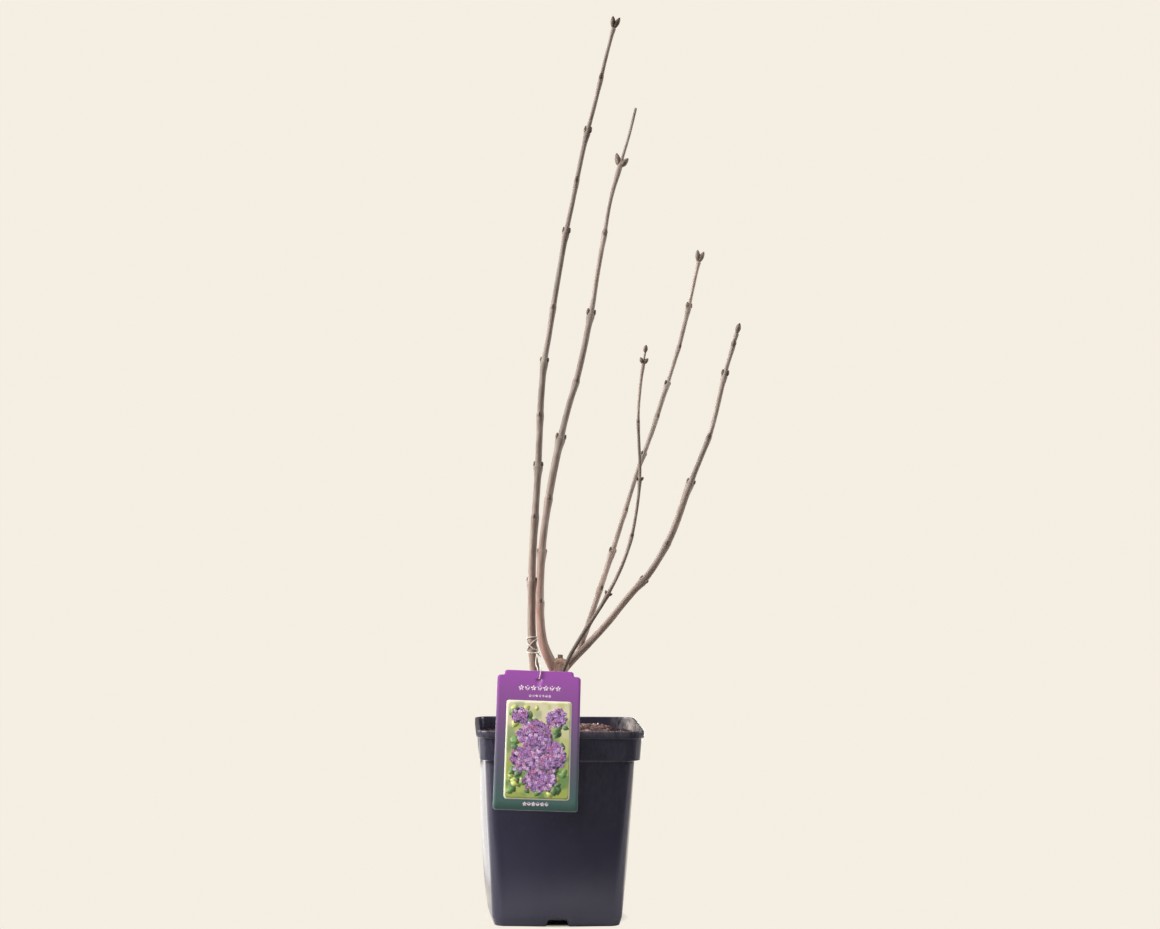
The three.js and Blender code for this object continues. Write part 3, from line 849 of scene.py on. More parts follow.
@dataclass(frozen=True)
class Pot:
    """The square nursery pot: foot rim with notches, tapered body, collar and lip."""

    form: SquareForm = SquareForm()
    height: float = 177.0
    lip_half: float = 75.5
    lip_height: float = 6.6
    collar_top_half: float = 73.6
    collar_bottom_half: float = 72.2
    collar_step: float = 0.8
    sag: float = 1.1
    sag_span: Pair = (185.0, 70.0)
    lip_rounding: float = 2.5
    foot_half: float = 56.5
    foot_inner_half: float = 51.5
    wall: float = 1.7
    floor_z: float = 6.0
    floor_thickness: float = 2.0
    pad_radius: float = 12.0
    corner_radius: float = 12.0
    notch_width: float = 22.0
    notch_height: float = 5.6
    notch_rounding: Pair = (1.0, -0.6)
    ring_spacing: float = 5.0
    ring_margin: float = 0.8
    wobble: float = 0.35
    wobble_length: float = 60.0
    wobble_rise: Pair = (12.0, 40.0)
    wobble_fall: Pair = (150.0, 130.0)
    # Dust, and on the inner right wall painted light too: how strong, and between which two places it grows
    # to that.
    lip_dust: tuple[float, Pair] = (0.12, (171.0, 176.0))
    wall_dust: tuple[float, Pair] = (0.045, (70.0, 150.0))
    right_dust: tuple[tuple[float, Pair], ...] = ((0.35, (50.0, 60.0)), (0.6, (64.0, 72.0)))

    def profile(self) -> Array:
        """The section from the middle of the underside, up the outside and down the inside.

        Returns:
            Rows of half width, height and corner radius, with every edge a little rounded.
        """
        form, wall, lip_z = self.form, self.wall, self.height - self.lip_height
        floor_top = self.floor_z + self.floor_thickness
        corners = np.array([
            (0.0, 0.0, 0.0), (self.pad_radius, 0.0, 0.6), (self.pad_radius, self.floor_z, 0.8),
            (self.foot_inner_half, self.floor_z, 0.8), (self.foot_inner_half, 0.0, 0.5),
            (self.foot_half, 0.0, 0.7), (form.bottom_half, form.bottom_z, 2.2),
            (form.top_half, form.collar_z, 1.0),
            (self.collar_bottom_half, form.collar_z + self.collar_step, 0.4),
            (self.collar_top_half, lip_z, 0.6), (self.lip_half, lip_z, 0.7),
            (self.lip_half, self.height, 1.0), (self.collar_top_half - wall, self.height, 0.7),
            (self.collar_bottom_half - wall, form.collar_z + wall, 0.8),
            (form.top_half - wall, form.collar_z - wall, 0.8),
            (form.bottom_half - wall, floor_top, 1.5), (0.0, floor_top, 0.0),
        ])
        places, radii = corners[:, :2], corners[:, 2]
        points = [places[:1]]
        for start, end, after, start_radius, end_radius in zip(
            places[:-1], places[1:], np.roll(places, -2, axis=0), radii[:-1], radii[1:]
        ):
            reach = float(np.linalg.norm(end - start))
            extra = int(reach // self.ring_spacing)
            margin = (max(start_radius, end_radius) + self.ring_margin) / reach
            share = np.linspace(margin, 1.0 - margin, extra if extra > 1 else 0)[:, None]
            points += [start + (end - start) * share, rounded(start, end, after, end_radius)]
        half, z = section = np.concatenate(points).T
        rim = smoothstep(self.collar_top_half, self.lip_half, half)
        inner = np.arange(len(z)) > int(np.argmax(z))
        below = (z < form.bottom_z) & (half < form.bottom_half)
        above = smoothstep(form.collar_z - 2.0, form.collar_z + 2.0, z)
        radius = self.corner_radius + rim + self.lip_rounding * above - wall * inner - wall * below
        return np.stack([*section, radius])

    def build(self, plastic: Material) -> Piece:
        """Carry the section round the plan, and lift the foot rim at the notch of each side.

        Within a notch a point of the foot at height z moves up to notch + z (top - notch) / top,
        where top is the height at which the body starts.

        Args:
            plastic: its finish.

        Returns:
            The finished piece.
        """
        form = self.form
        half, z, radius = self.profile()
        outer = np.arange(len(z)) <= int(np.argmax(z))
        below = np.where(outer, (form.collar_z + self.collar_step - z) / self.collar_step,
                         (form.collar_z + self.wall - z) / (2 * self.wall))
        points = form.carry(half, z, radius, form.bulge(z) * np.clip(below, 0.0, 1.0))

        along = np.abs(form.plan()[2] * (form.top_half - self.corner_radius))
        foot = outer & (half > self.foot_inner_half - 0.6) & (z < form.bottom_z)
        inside = smoothstep(*(self.notch_width / 2 + edge for edge in self.notch_rounding), along)
        lift = np.where(foot, self.notch_height * (1.0 - z / form.bottom_z), 0.0)
        points[..., 2] += lift[:, None] * inside

        angle, height = np.arctan2(points[..., 1], points[..., 0]), points[..., 2]
        place = np.stack([np.cos(angle) * 2, np.sin(angle) * 2, height / self.wobble_length], -1)
        outwards = points[..., :2] / np.maximum(np.linalg.norm(points[..., :2], axis=-1, keepdims=True), 1.0)
        body = smoothstep(*self.wobble_rise, height) * smoothstep(*self.wobble_fall, height)
        points[..., :2] += outwards * (self.wobble * value_noise(place, 5) * body)[..., None]
        points[..., 0] -= self.sag * smoothstep(*self.sag_span, height)

        rim = sum(much * smoothstep(*span, z) for much, span in (self.lip_dust, self.wall_dust))
        # The inner surface grows paler towards +X: soil dust, and painted light where the light from the left
        # falls on that wall.
        right = sum(much * smoothstep(*span, points[..., 0]) for much, span in self.right_dust)
        maker = MeshMaker("pot_shell").grid(points, dust=np.where(outer[:, None], rim[:, None], right))
        return place_piece(maker.build([plastic], 40.0), "black_plastic", "pot")


@dataclass(frozen=True)
class Lumps:
    """One kind of lump in the soil: balls with each point drawn in or out, squashed and half sunk."""

    count: int
    seed: int
    sizes: Pair
    flatness: float
    sunk: float
    tones: Pair = (1.0, 1.0)
    rows: int = 5
    columns: int = 7
    rarity: float = 2.2
    widths: tuple[Pair, Pair, Pair] = ((0.7, 1.5), (0.6, 1.0), (0.7, 1.2))
    roughness: Pair = (0.72, 1.22)
    tilt: float = 0.55

    def balls(self, draw: np.random.Generator, count: int) -> tuple[Array, Array]:
        """Lumps round the origin.

        Args:
            draw: the source of random numbers.
            count: how many.

        Returns:
            Points, shape (count, rows, columns, 3), and each lump's radius.
        """
        tilt = np.linspace(0.12 * math.pi, 0.88 * math.pi, self.rows)[:, None]
        turn = full_turn(self.columns)
        ball = np.stack(np.broadcast_arrays(
            np.sin(tilt) * np.cos(turn), np.sin(tilt) * np.sin(turn), np.cos(tilt)), -1)
        size = self.sizes[0] + (self.sizes[1] - self.sizes[0]) * draw.random(count) ** self.rarity
        stretch = np.column_stack([draw.uniform(*widths, count) for widths in self.widths])
        stretch[:, 2] *= self.flatness
        lump = ball * draw.uniform(*self.roughness, (count, self.rows, self.columns, 1))
        lump = lump * (stretch * size[:, None])[:, None, None, :]
        return np.einsum("nij,nrcj->nrci", random_turns(draw, count, self.tilt), lump), size


@dataclass(frozen=True)
class Soil:
    """The potting soil: a rough low mound with crumbs, bark chips, fibres and perlite on it."""

    form: SquareForm = SquareForm()
    edge_z: float = 170.2
    middle_z: float = 172.6
    edge_half: float = 70.2
    flat_half: float = 20.0
    top_drop: float = 0.4
    roughness: float = 0.9
    grain: float = 9.0
    left_drop: float = 5.0
    left_span: Pair = (-36.0, -60.0)
    right_drop: float = 4.0
    right_span: Pair = (44.0, 58.0)
    wall_gap: float = 2.2
    inside_z: Triple = (149.0, 80.0, 8.4)
    bead: Triple = (38.9, 35.0, 174.0)
    bead_radius: float = 1.4
    corner_radius: float = 10.0
    rings: int = 46
    stem: Pair = (-3.0, -1.0)
    stem_clear: float = 13.0
    crumbs: Lumps = Lumps(2600, 21, (0.45, 1.5), 0.7, 0.35, (0.05, 0.75))
    chips: Lumps = Lumps(420, 22, (1.1, 3.0), 0.42, 0.25, (0.25, 1.0))
    perlite: Lumps = Lumps(34, 23, (0.6, 1.7), 0.85, 0.15)
    fibres: int = 160
    fibre_tone: float = 0.85
    # Painted shade: how much the crumbs and chips near the left and right walls are darkened, and across
    # which spans of x, where the walls shade the soil.
    painted_shade: float = 0.6
    painted_shade_spans: tuple[Pair, Pair] = ((-34.0, -56.0), (44.0, 56.0))

    def mound(self, x: Array, y: Array) -> Array:
        """The soil's height: level in the middle, falling to its edges, more at the sides, plus noise.

        Args:
            x: places across.
            y: places in depth.

        Returns:
            Heights in the shape of x.
        """
        off = np.maximum(np.abs(x), np.abs(y)) - self.flat_half
        share = np.clip(off / (self.edge_half - self.flat_half), 0, 1)
        rough = layered_noise(np.stack([x / self.grain, y / self.grain, np.zeros_like(x)], -1), 11, 4)
        return (self.middle_z - self.top_drop + (self.edge_z - self.middle_z) * share + self.roughness * rough
                - self.left_drop * smoothstep(*self.left_span, x)
                - self.right_drop * smoothstep(*self.right_span, x))

    def surface(self) -> tuple[Array, Array]:
        """The soil's whole skin, from the middle of its top out and down to its underside.

        Returns:
            The points, and how light each is.
        """
        form = self.form
        top_z, middle_z, bottom_z = self.inside_z
        inside = np.array([form.top_half, form.body_half(middle_z), form.bottom_half]) - self.wall_gap
        half = np.concatenate([np.linspace(0.015, 1.0, self.rings) * self.edge_half, inside, [4.0]])
        z = np.concatenate([np.full(self.rings, self.middle_z), [top_z, middle_z, bottom_z, bottom_z - 0.1]])
        radius = self.corner_radius * np.minimum(half / self.edge_half, 1.0)
        points = form.carry(half, z, radius, np.zeros_like(half))
        top = points[:self.rings]
        top[..., 2] = self.mound(top[..., 0], top[..., 1])
        return points, 0.30 + 0.25 * value_noise(points / 4.0, 31)

    def scatter(self, count: int, seed: int, margin: float) -> tuple[Array, Array, np.random.Generator]:
        """Random places on the mound, away from the stem.

        Args:
            count: how many.
            seed: which draw.
            margin: how far from the soil's edge they keep.

        Returns:
            Their x and y, and the source of random numbers for further draws.
        """
        draw = np.random.default_rng(seed)
        reach = self.edge_half - margin
        x, y = draw.uniform(-reach, reach, (2, 2 * count))
        clear = np.hypot(x - self.stem[0], y - self.stem[1]) > self.stem_clear
        return x[clear][:count], y[clear][:count], draw

    def lay(self, kind: Lumps) -> Array:
        """Lumps of one kind, each sunk by a share of its radius into the mound.

        Args:
            kind: which kind.

        Returns:
            Points, shape (lumps, rows, columns, 3).
        """
        x, y, draw = self.scatter(kind.count, kind.seed, 2.0)
        lump, size = kind.balls(draw, len(x))
        height = self.mound(x, y) + size * kind.flatness * (0.5 - kind.sunk)
        return lump + np.stack([x, y, height], -1)[:, None, None, :]

    def threads(self) -> Array:
        """Root fibres lying on the soil: thin tubes along short bent lines.

        Returns:
            Points, shape (fibres, rows, columns, 3).
        """
        x, y, draw = self.scatter(self.fibres, 77, 7.0)
        count = len(x)
        share = np.linspace(-0.5, 0.5, 7)
        heading = draw.uniform(0, TAU, count)
        length = draw.uniform(3.5, 9.0, count)
        bend = draw.uniform(-1.6, 1.6, count)
        turn = heading[:, None] + bend[:, None] * share
        step = length[:, None] / 6
        px = x[:, None] + np.cumsum(np.cos(turn) * step, 1)
        py = y[:, None] + np.cumsum(np.sin(turn) * step, 1)
        arch = draw.uniform(0.1, 1.1, count)[:, None] * np.cos(share * math.pi)
        middle = np.stack([px, py, self.mound(px, py) + 0.3 + arch], -1)
        around = full_turn(5)[:, None]
        thick = draw.uniform(0.12, 0.28, count)[:, None] * (1.0 - 0.7 * np.abs(2 * share))
        side = np.stack([-np.sin(turn), np.cos(turn), np.zeros_like(turn)], -1)
        ring = side[:, :, None, :] * np.cos(around) + np.array([0.0, 0.0, 1.0]) * np.sin(around)
        return middle[:, :, None, :] + ring * thick[..., None, None]

    def build(self, soil: Material, perlite: Material) -> Piece:
        """Join the mound, crumbs, chips, fibres and perlite.

        Args:
            soil: the finish of all but the perlite.
            perlite: the perlite's.

        Returns:
            The finished piece.
        """
        points, tone = self.surface()
        maker = MeshMaker("soil_fill").grid(points, tone=tone)
        draw = np.random.default_rng(3)
        for kind in (self.crumbs, self.chips):
            lumps = self.lay(kind)
            # Painted shade: crumbs and chips near the left and right walls get a darker tone.
            painted_shade = sum(smoothstep(*span, lumps[:, :1, :1, 0]) for span in self.painted_shade_spans)
            shade = draw.uniform(*kind.tones, len(lumps))[:, None, None]
            maker.grid(lumps, tone=shade - self.painted_shade * painted_shade)
        maker.grid(self.threads(), tone=self.fibre_tone)
        beads = self.lay(self.perlite)
        bead = beads[0] - beads[0].mean((0, 1))
        beads[0] = np.array(self.bead) + bead * (self.bead_radius / np.abs(bead).max())
        maker.grid(beads, finish=1, tone=1.0)
        return place_piece(maker.build([soil, perlite], 60.0), "potting_soil", "soil")


def random_turns(draw: np.random.Generator, count: int, tilt: float) -> Array:
    """Random turns about the upright axis, each followed by a random tilt.

    Args:
        draw: the source of random numbers.
        count: how many.
        tilt: the greatest tilt in radians.

    Returns:
        Rotation matrices, shape (count, 3, 3): spin about Z, then tilt about X.
    """
    spin, lean = draw.uniform(0, TAU, count), draw.uniform(-tilt, tilt, count)
    turn, tip = np.tile(np.eye(3), (2, count, 1, 1))
    for matrix, angle, axes in ((turn, spin, [0, 1]), (tip, lean, [1, 2])):
        matrix[:, axes, axes] = np.cos(angle)[:, None]
        matrix[:, axes[1], axes[0]] = np.sin(angle)
        matrix[:, axes[0], axes[1]] = -np.sin(angle)
    return np.einsum("nij,njk->nik", turn, tip)


# ------------------------------------------------------------------ limbs


class Spine:
    """A smooth centre line through points: a centripetal Catmull-Rom curve, measured by length."""

    def __init__(self, points: Sequence[Sequence[float]], samples: int = 80) -> None:
        """Sample the curve.

        Between two points it is a cubic whose end slopes come from the neighbours, spaced by the
        square root of their distance. Past each end the last step is repeated.

        Args:
            points: the points it passes through.
            samples: samples between two points.
        """
        given = np.array(points, float)
        padded = np.concatenate([[2 * given[0] - given[1]], given, [2 * given[-1] - given[-2]]])
        spans = np.sqrt(np.linalg.norm(np.diff(padded, axis=0), axis=1))[:, None]
        p0, p1, p2, p3 = padded[:-3], padded[1:-2], padded[2:-1], padded[3:]
        d0, d1, d2 = spans[:-2], spans[1:-1], spans[2:]
        slope1 = ((p1 - p0) / d0 - (p2 - p0) / (d0 + d1) + (p2 - p1) / d1) * d1
        slope2 = ((p2 - p1) / d1 - (p3 - p1) / (d1 + d2) + (p3 - p2) / d2) * d1
        t = np.arange(samples)[:, None, None] / samples
        curve = ((2 * t**3 - 3 * t**2 + 1) * p1 + (t**3 - 2 * t**2 + t) * slope1
                 + (-2 * t**3 + 3 * t**2) * p2 + (t**3 - t**2) * slope2)
        self.track = np.concatenate([curve.transpose(1, 0, 2).reshape(-1, 3), given[-1:]])
        steps = np.linalg.norm(np.diff(self.track, axis=0), axis=1)
        self.lengths = np.concatenate([[0.0], np.cumsum(steps)])
        self.total = float(self.lengths[-1])
        self.tangents = np.gradient(self.track, self.lengths, axis=0)

    def read(self, rows: Array, length: Array) -> Array:
        """A row of three numbers for each length, from the rows of the line's samples."""
        return np.stack([np.interp(length, self.lengths, rows[:, k]) for k in range(3)], -1)

    def at(self, length: Array) -> Array:
        """The centre at lengths along the line, and straight on past its ends."""
        past = np.asarray(length) - np.clip(length, 0.0, self.total)
        return self.read(self.track, length) + self.along(length) * past[..., None]

    def along(self, length: Array) -> Array:
        """The direction of the line at lengths along it."""
        return unit(self.read(self.tangents, length))

    def frame(self, length: Array) -> tuple[Array, Array, Array, Array]:
        """The line and its sides at lengths along it.

        Args:
            length: lengths along the line.

        Returns:
            Four arrays: the centre, the direction, the side that faces +X, and the one that faces the front.
        """
        along = self.along(length)
        side = unit(np.array([1.0, 0.0, 0.0]) - along * along[..., :1])
        return self.at(length), along, side, np.cross(side, along)

    def length_at(self, height: float) -> float:
        """The length at which a rising line reaches a height."""
        return float(np.interp(height, np.maximum.accumulate(self.track[:, 2]), self.lengths))

    def skin(self, length: Array, turn: Array, radius: Array) -> Array:
        """Rings round the line: centre + radius (side cos turn + front sin turn)."""
        centre, _, side, front = (part[:, None] for part in self.frame(length))
        return centre + (side * np.cos(turn)[:, None] + front * np.sin(turn)[:, None]) * radius[..., None]


def bark_place(turn: Array, length: Array, radius: float, stretch: float = 1.0) -> Array:
    """A place on a straight stem of one radius, with its length divided by a stretch."""
    return np.stack([np.cos(turn) * radius, np.sin(turn) * radius, length / stretch], -1)


def from_pair(turn: Array) -> Array:
    """How far a turn is from the nearer of two opposite directions, 0 and half a turn."""
    return np.abs((turn + math.pi / 2) % math.pi - math.pi / 2)


@dataclass(frozen=True)
class Buds:
    """Pointed buds of overlapping scales in opposite pairs, with a scale's lowest and highest share."""

    root_power: float
    tip_power: float = 0.8
    rows: int = 26
    columns: int = 20
    scales: tuple[Pair, ...] = ((-0.15, 0.36), (0.08, 0.60), (0.30, 0.82), (0.52, 1.05))
    scale_step: float = 0.055
    arch_power: float = 1.7
    keel: float = 0.06

    def surfaces(self, size: Array, width: Array) -> tuple[Array, Array, Array]:
        """Buds along +Z from the origin.

        The radius at share t is the width times t^root (1-t)^tip, scaled to a greatest half. Four
        pairs of scales cover it, each pair a quarter turn on from the last: a scale ends at a
        pointed arch whose tip is at its own share, and each scale that covers a point lifts it.

        Args:
            size: lengths, one for each bud.
            width: greatest widths.

        Returns:
            Points (buds, rows, columns, 3), how near each is to a scale's edge, and to the tip.
        """
        t = (np.linspace(0.0, 1.0, self.rows) ** 0.85 * 0.985 + 0.012)[:, None]
        turn = full_turn(self.columns)
        shape = t**self.root_power * (1.0 - t) ** self.tip_power
        cover, edge = np.zeros((2, self.rows, self.columns))
        for pair, (root, tip) in enumerate(self.scales):
            off = from_pair(turn + pair * math.pi / 2) / (math.pi / 2)
            past = t - (tip - (tip - root) * off**self.arch_power)
            cover += smoothstep(0.02, -0.02, past)
            edge = np.maximum(edge, bell(past + 0.025, 0.03))
        keel = 1.0 + self.keel * np.cos(2 * turn) ** 4
        radius = shape / shape.max() * keel * (1.0 + self.scale_step * (cover - 1.6)) * 0.5
        flat = circle(turn) * radius[..., None] * width[:, None, None, None]
        z = (size[:, None, None] * t)[..., None]
        points = np.concatenate([flat, np.broadcast_to(z, (*flat.shape[:3], 1))], -1)
        return points, edge, smoothstep(0.75, 1.0, t)


@dataclass(frozen=True)
class EndBuds:
    """The large buds that end a shoot, or stand a little below its bare tip."""

    turns: tuple[float, ...]
    lengths: tuple[float, ...]
    width: float
    lean: float
    height: float | None = None
    root_power: float = 1.0
    gap: float = 0.2
    pale: float = 0.0


@dataclass(frozen=True)
class Shoot:
    """One whip: a tapering stem with swollen nodes, each with an opposite pair of buds."""

    name: str
    seed: int
    line: tuple[Triple, ...]
    widths: tuple[float, ...]
    flare: float
    nodes: tuple[float, ...]
    vigour: tuple[float, ...]
    first_turn: float
    end: EndBuds
    flush: float
    # How far each stretch between nodes is darkened towards the shaded colour: partly the bark's own tone,
    # partly painted shade.
    tones: tuple[float, ...]
    flush_turn: float = 0.0
    # Painted shade: how much darker, low on the stem, the side at flush_turn is, and the other side lighter.
    flush_shade: float = 0.16
    flush_heights: Pair = (430.0, 250.0)
    columns: int = 40
    ring_spacing: float = 0.9
    bud_length: float = 5.2
    bud_width: float = 3.0
    bud_lean: float = 17.0
    bud_drop: float = 0.4
    bud_sunk: float = 0.45
    bud_root_power: float = 0.55
    swell_below: float = 8.0
    swell_above: float = 2.4
    swell_height: float = 0.2
    end_swell: float = 0.42
    end_reach: float = 5.5
    end_sunk: float = 2.2
    flare_reach: float = 18.0
    flare_power: float = 1.0
    shelf_reach: float = 4.6
    shelf_width: float = 0.62
    shelf_share: float = 0.14
    shelf_depth: float = 0.12
    wrinkle: float = 0.035
    lenticels: tuple[int, float, Pair] = (6, 5.0, (0.16, 0.75))
    lenticel_depth: float = 0.07
    scar_depth: float = 0.05
    tip_reach: float = 1.2
    tip_share: float = 0.35

    @cached_property
    def spine(self) -> Spine:
        """The centre line."""
        return Spine(self.line)

    @cached_property
    def node_lengths(self) -> Array:
        """The nodes' places along the stem."""
        return np.array([self.spine.length_at(height) for height in self.nodes])

    @cached_property
    def end_length(self) -> float:
        """The place of the end buds along the stem."""
        return self.spine.length_at(self.end.height) if self.end.height else self.spine.total

    def stretches(self, values: tuple[float, ...], length: Array) -> Array:
        """A number along the stem, with one value for each stretch between two nodes.

        A value holds from a quarter of the way up its stretch to near the upper node, and
        straight lines join one stretch's value to the next.

        Args:
            values: the numbers from the lowest stretch up.
            length: lengths along the stem.

        Returns:
            The numbers there.
        """
        marks = np.unique([0.0, *self.node_lengths, self.end_length, self.spine.total])
        gaps = np.diff(marks)
        knots = np.column_stack([marks[:-1] + 0.25 * gaps, marks[1:] - 0.12 * gaps]).ravel()
        return np.interp(length, knots, np.repeat(values, 2))

    def wood(self, length: Array) -> Array:
        """The wood's radius without its nodes: half of its width, plus flare e^-((s/reach)^power)."""
        flare = self.flare * np.exp(-((length / self.flare_reach) ** self.flare_power))
        return (self.stretches(self.widths, length) + flare) / 2

    def swell(self, length: Array) -> Array:
        """The stem's swelling, which rises slowly below a node and falls quickly above.

        Args:
            length: lengths along the stem.

        Returns:
            The share of its radius by which it is swollen.
        """
        height = np.append(self.swell_height * np.array(self.vigour), self.end_swell)
        off = length[:, None] - np.append(self.node_lengths, self.end_length)
        below = np.append(np.full(len(self.nodes), self.swell_below), self.end_reach)
        return (height * bell(off, np.where(off < 0, below, self.swell_above))).sum(-1)

    def stations(self) -> Array:
        """Rings evenly along the stem, and closer together at the nodes.

        Returns:
            Lengths along the stem in rising order.
        """
        total = self.spine.total
        close = (self.node_lengths[:, None] + np.arange(-4.2, 2.5, 0.3)).ravel()
        whole = np.concatenate([np.arange(0.0, total, self.ring_spacing), close, [total]])
        whole = np.unique(whole.round(2))
        whole = whole[(whole >= 0) & (whole <= total)]
        return whole[np.concatenate([[True], np.diff(whole) > 0.18])]

    def relief(self, u: Array, v: Array) -> tuple[Array, Array]:
        """The shelves that carry the buds, and the leaf scars under them.

        A shelf rises slowly to a leaf scar and drops just above it. A scar is a crescent that
        bends up at its ends, with a thin line round the whole node.

        Args:
            u: turns round the stem.
            v: lengths along it.

        Returns:
            How far each point is on a shelf, and on a scar, from 0 to 1.
        """
        shelf, scar = np.zeros((2, *u.shape))
        for index, node in enumerate(self.node_lengths):
            off = from_pair(u - math.radians(self.first_turn + 90.0 * index))
            above = v - node
            rise = np.where(above < -0.6, bell(above + 0.6, self.shelf_reach), smoothstep(0.35, -0.35, above))
            shelf += self.vigour[index] * bell(off, self.shelf_width) * rise
            crescent = bell(above + 0.55 - 0.9 * off**2, 0.45) * smoothstep(0.85, 0.55, off)
            scar = np.maximum(scar, np.maximum(crescent, bell(above + 0.1, 0.22) * 0.35))
        return shelf, scar

    def stem(self, maker: MeshMaker) -> None:
        """Add the stem, with leaf scars, ridges below them, wrinkles, lenticels and painted shade.

        The radius is the wood's, times 1 plus the swelling and a share of the shelf, plus the
        shelf, wrinkles and lenticels, less the scars. It narrows at the stem's tip.

        Args:
            maker: the mesh to add to.
        """
        length = self.stations()
        turn = full_turn(self.columns)
        u, v = np.meshgrid(turn, length)
        wood = self.wood(length)[:, None]
        shelf, scar = self.relief(u, v)
        rough = layered_noise(bark_place(u, v, 3.1, 9.0), self.seed)
        dots = np.maximum(spots(u, v, *self.lenticels, self.seed + 40), 0.0)
        swell = self.swell(length)[:, None]
        radius = wood * (1.0 + swell + self.shelf_share * shelf) + self.shelf_depth * shelf
        radius = radius + self.wrinkle * rough * np.minimum(wood, 2.0) + self.lenticel_depth * dots
        radius = radius - self.scar_depth * scar
        close = smoothstep(self.spine.total, self.spine.total - self.tip_reach, length)[:, None]
        radius = radius * (self.tip_share + (1.0 - self.tip_share) * np.sqrt(close))
        low = smoothstep(*self.flush_heights, self.spine.at(length)[:, 2])[:, None]
        side = np.cos(u - math.radians(self.flush_turn))
        # Painted shade: each stretch's tone, and low on the stem a darker side at flush_turn and a lighter
        # opposite side.
        shade = self.stretches(self.tones, length)[:, None] + self.flush_shade * low * side
        maker.grid(self.spine.skin(length, turn, radius), grain=bark_place(u, v, 2.5) * MM, scar=scar * 0.8,
                   spot=dots, flush=self.flush * low * (0.6 + 0.4 * side), shade=np.maximum(shade, 0.0))

    def place_buds(self, maker: MeshMaker, form: Buds, sunk: float, *each: Array | float) -> None:
        """Add buds on the stem.

        A bud's root lies at a distance from the centre in its turn's direction, and its length
        leans out from the stem's direction by the lean angle.

        Args:
            maker: the mesh to add them to.
            form: the buds' form.
            sunk: how far back along the stem each root is moved.
            each: for each bud, or for all: the length along the stem, the turn round it and the
                lean, both in degrees, the root's distance from the centre, the bud's length, its
                width, and how pale it is.
        """
        at, turn, lean, out, size, width, pale = np.broadcast_arrays(*each)
        local, edge, tip = form.surfaces(size, width)
        centre, along, side, front = self.spine.frame(at)
        angle, tilt = np.radians(turn)[:, None], np.radians(lean)[:, None]
        outward = side * np.cos(angle) + front * np.sin(angle)
        axis = along * np.cos(tilt) + outward * np.sin(tilt)
        across = np.cross(along, outward)
        root = centre + outward * out[:, None] - along * sunk
        turned = sum(local[..., k:k + 1] * way[:, None, None]
                     for k, way in enumerate((across, np.cross(across, axis), axis)))
        apart = np.arange(len(at))[:, None, None, None] * 0.01
        maker.grid(root[:, None, None] + turned, finish=1, grain=local * MM + apart, edge=edge, tip=tip,
                   pale=pale[:, None, None])

    def build(self, bark: Material, buds: Material) -> Piece:
        """Make the stem and its buds as one piece.

        Args:
            bark: the stem's finish.
            buds: the buds'.

        Returns:
            The finished piece.
        """
        maker = MeshMaker(self.name + "_bark")
        self.stem(maker)
        end, nodes, vigour = self.end, self.node_lengths, np.array(self.vigour)
        out = self.wood(nodes) * (1.0 + self.swell_height * vigour) - self.bud_sunk * self.bud_width * vigour
        number = np.arange(len(nodes))
        pale = np.where(number == number[-1], end.pale, 0.0)
        for half_turn in (0.0, 180.0):
            self.place_buds(maker, Buds(self.bud_root_power), self.bud_drop, nodes,
                            self.first_turn + 90.0 * number + half_turn, self.bud_lean, out,
                            self.bud_length * vigour, self.bud_width * vigour, pale)
        gap = end.gap if end.lean > 0 else 0.0
        self.place_buds(maker, Buds(end.root_power), self.end_sunk, self.end_length, end.turns, end.lean, gap,
                        end.lengths, end.width, end.pale)
        return place_piece(maker.build([bark, buds]), "bark", self.name)


@dataclass(frozen=True)
class Stub:
    """A pruned stub: where it starts and ends, and its radius."""

    foot: Triple
    top: Triple
    radius: float
    seed: int
    rings: int = 26
    columns: int = 28
    cut_rings: tuple[float, ...] = (0.9, 0.65, 0.35, 0.08)

    def add(self, maker: MeshMaker) -> None:
        """Add a short lumpy tube with a sunk, ragged cut end.

        Args:
            maker: the mesh to add to.
        """
        spine = Spine([self.foot, self.top], 40)
        length = np.linspace(0.0, spine.total, self.rings)
        length = np.append(length, np.full(len(self.cut_rings), spine.total))
        shrink = np.append(np.ones(self.rings), self.cut_rings)[:, None]
        turn = full_turn(self.columns)
        u, v = np.meshgrid(turn, length)
        rough = layered_noise(bark_place(u, v, 1.6, 2.2), self.seed)
        points = spine.skin(length, turn, self.radius * (1.0 + 0.16 * rough) * shrink)
        cut = np.arange(len(length)) >= self.rings - 1
        points[cut, :, 2] += 0.35 * rough[cut] - 0.5 * (1.0 - shrink[cut])
        maker.grid(points, grain=bark_place(u, v, 2.2) * MM, scar=np.where(cut, 0.8, 0.15)[:, None])


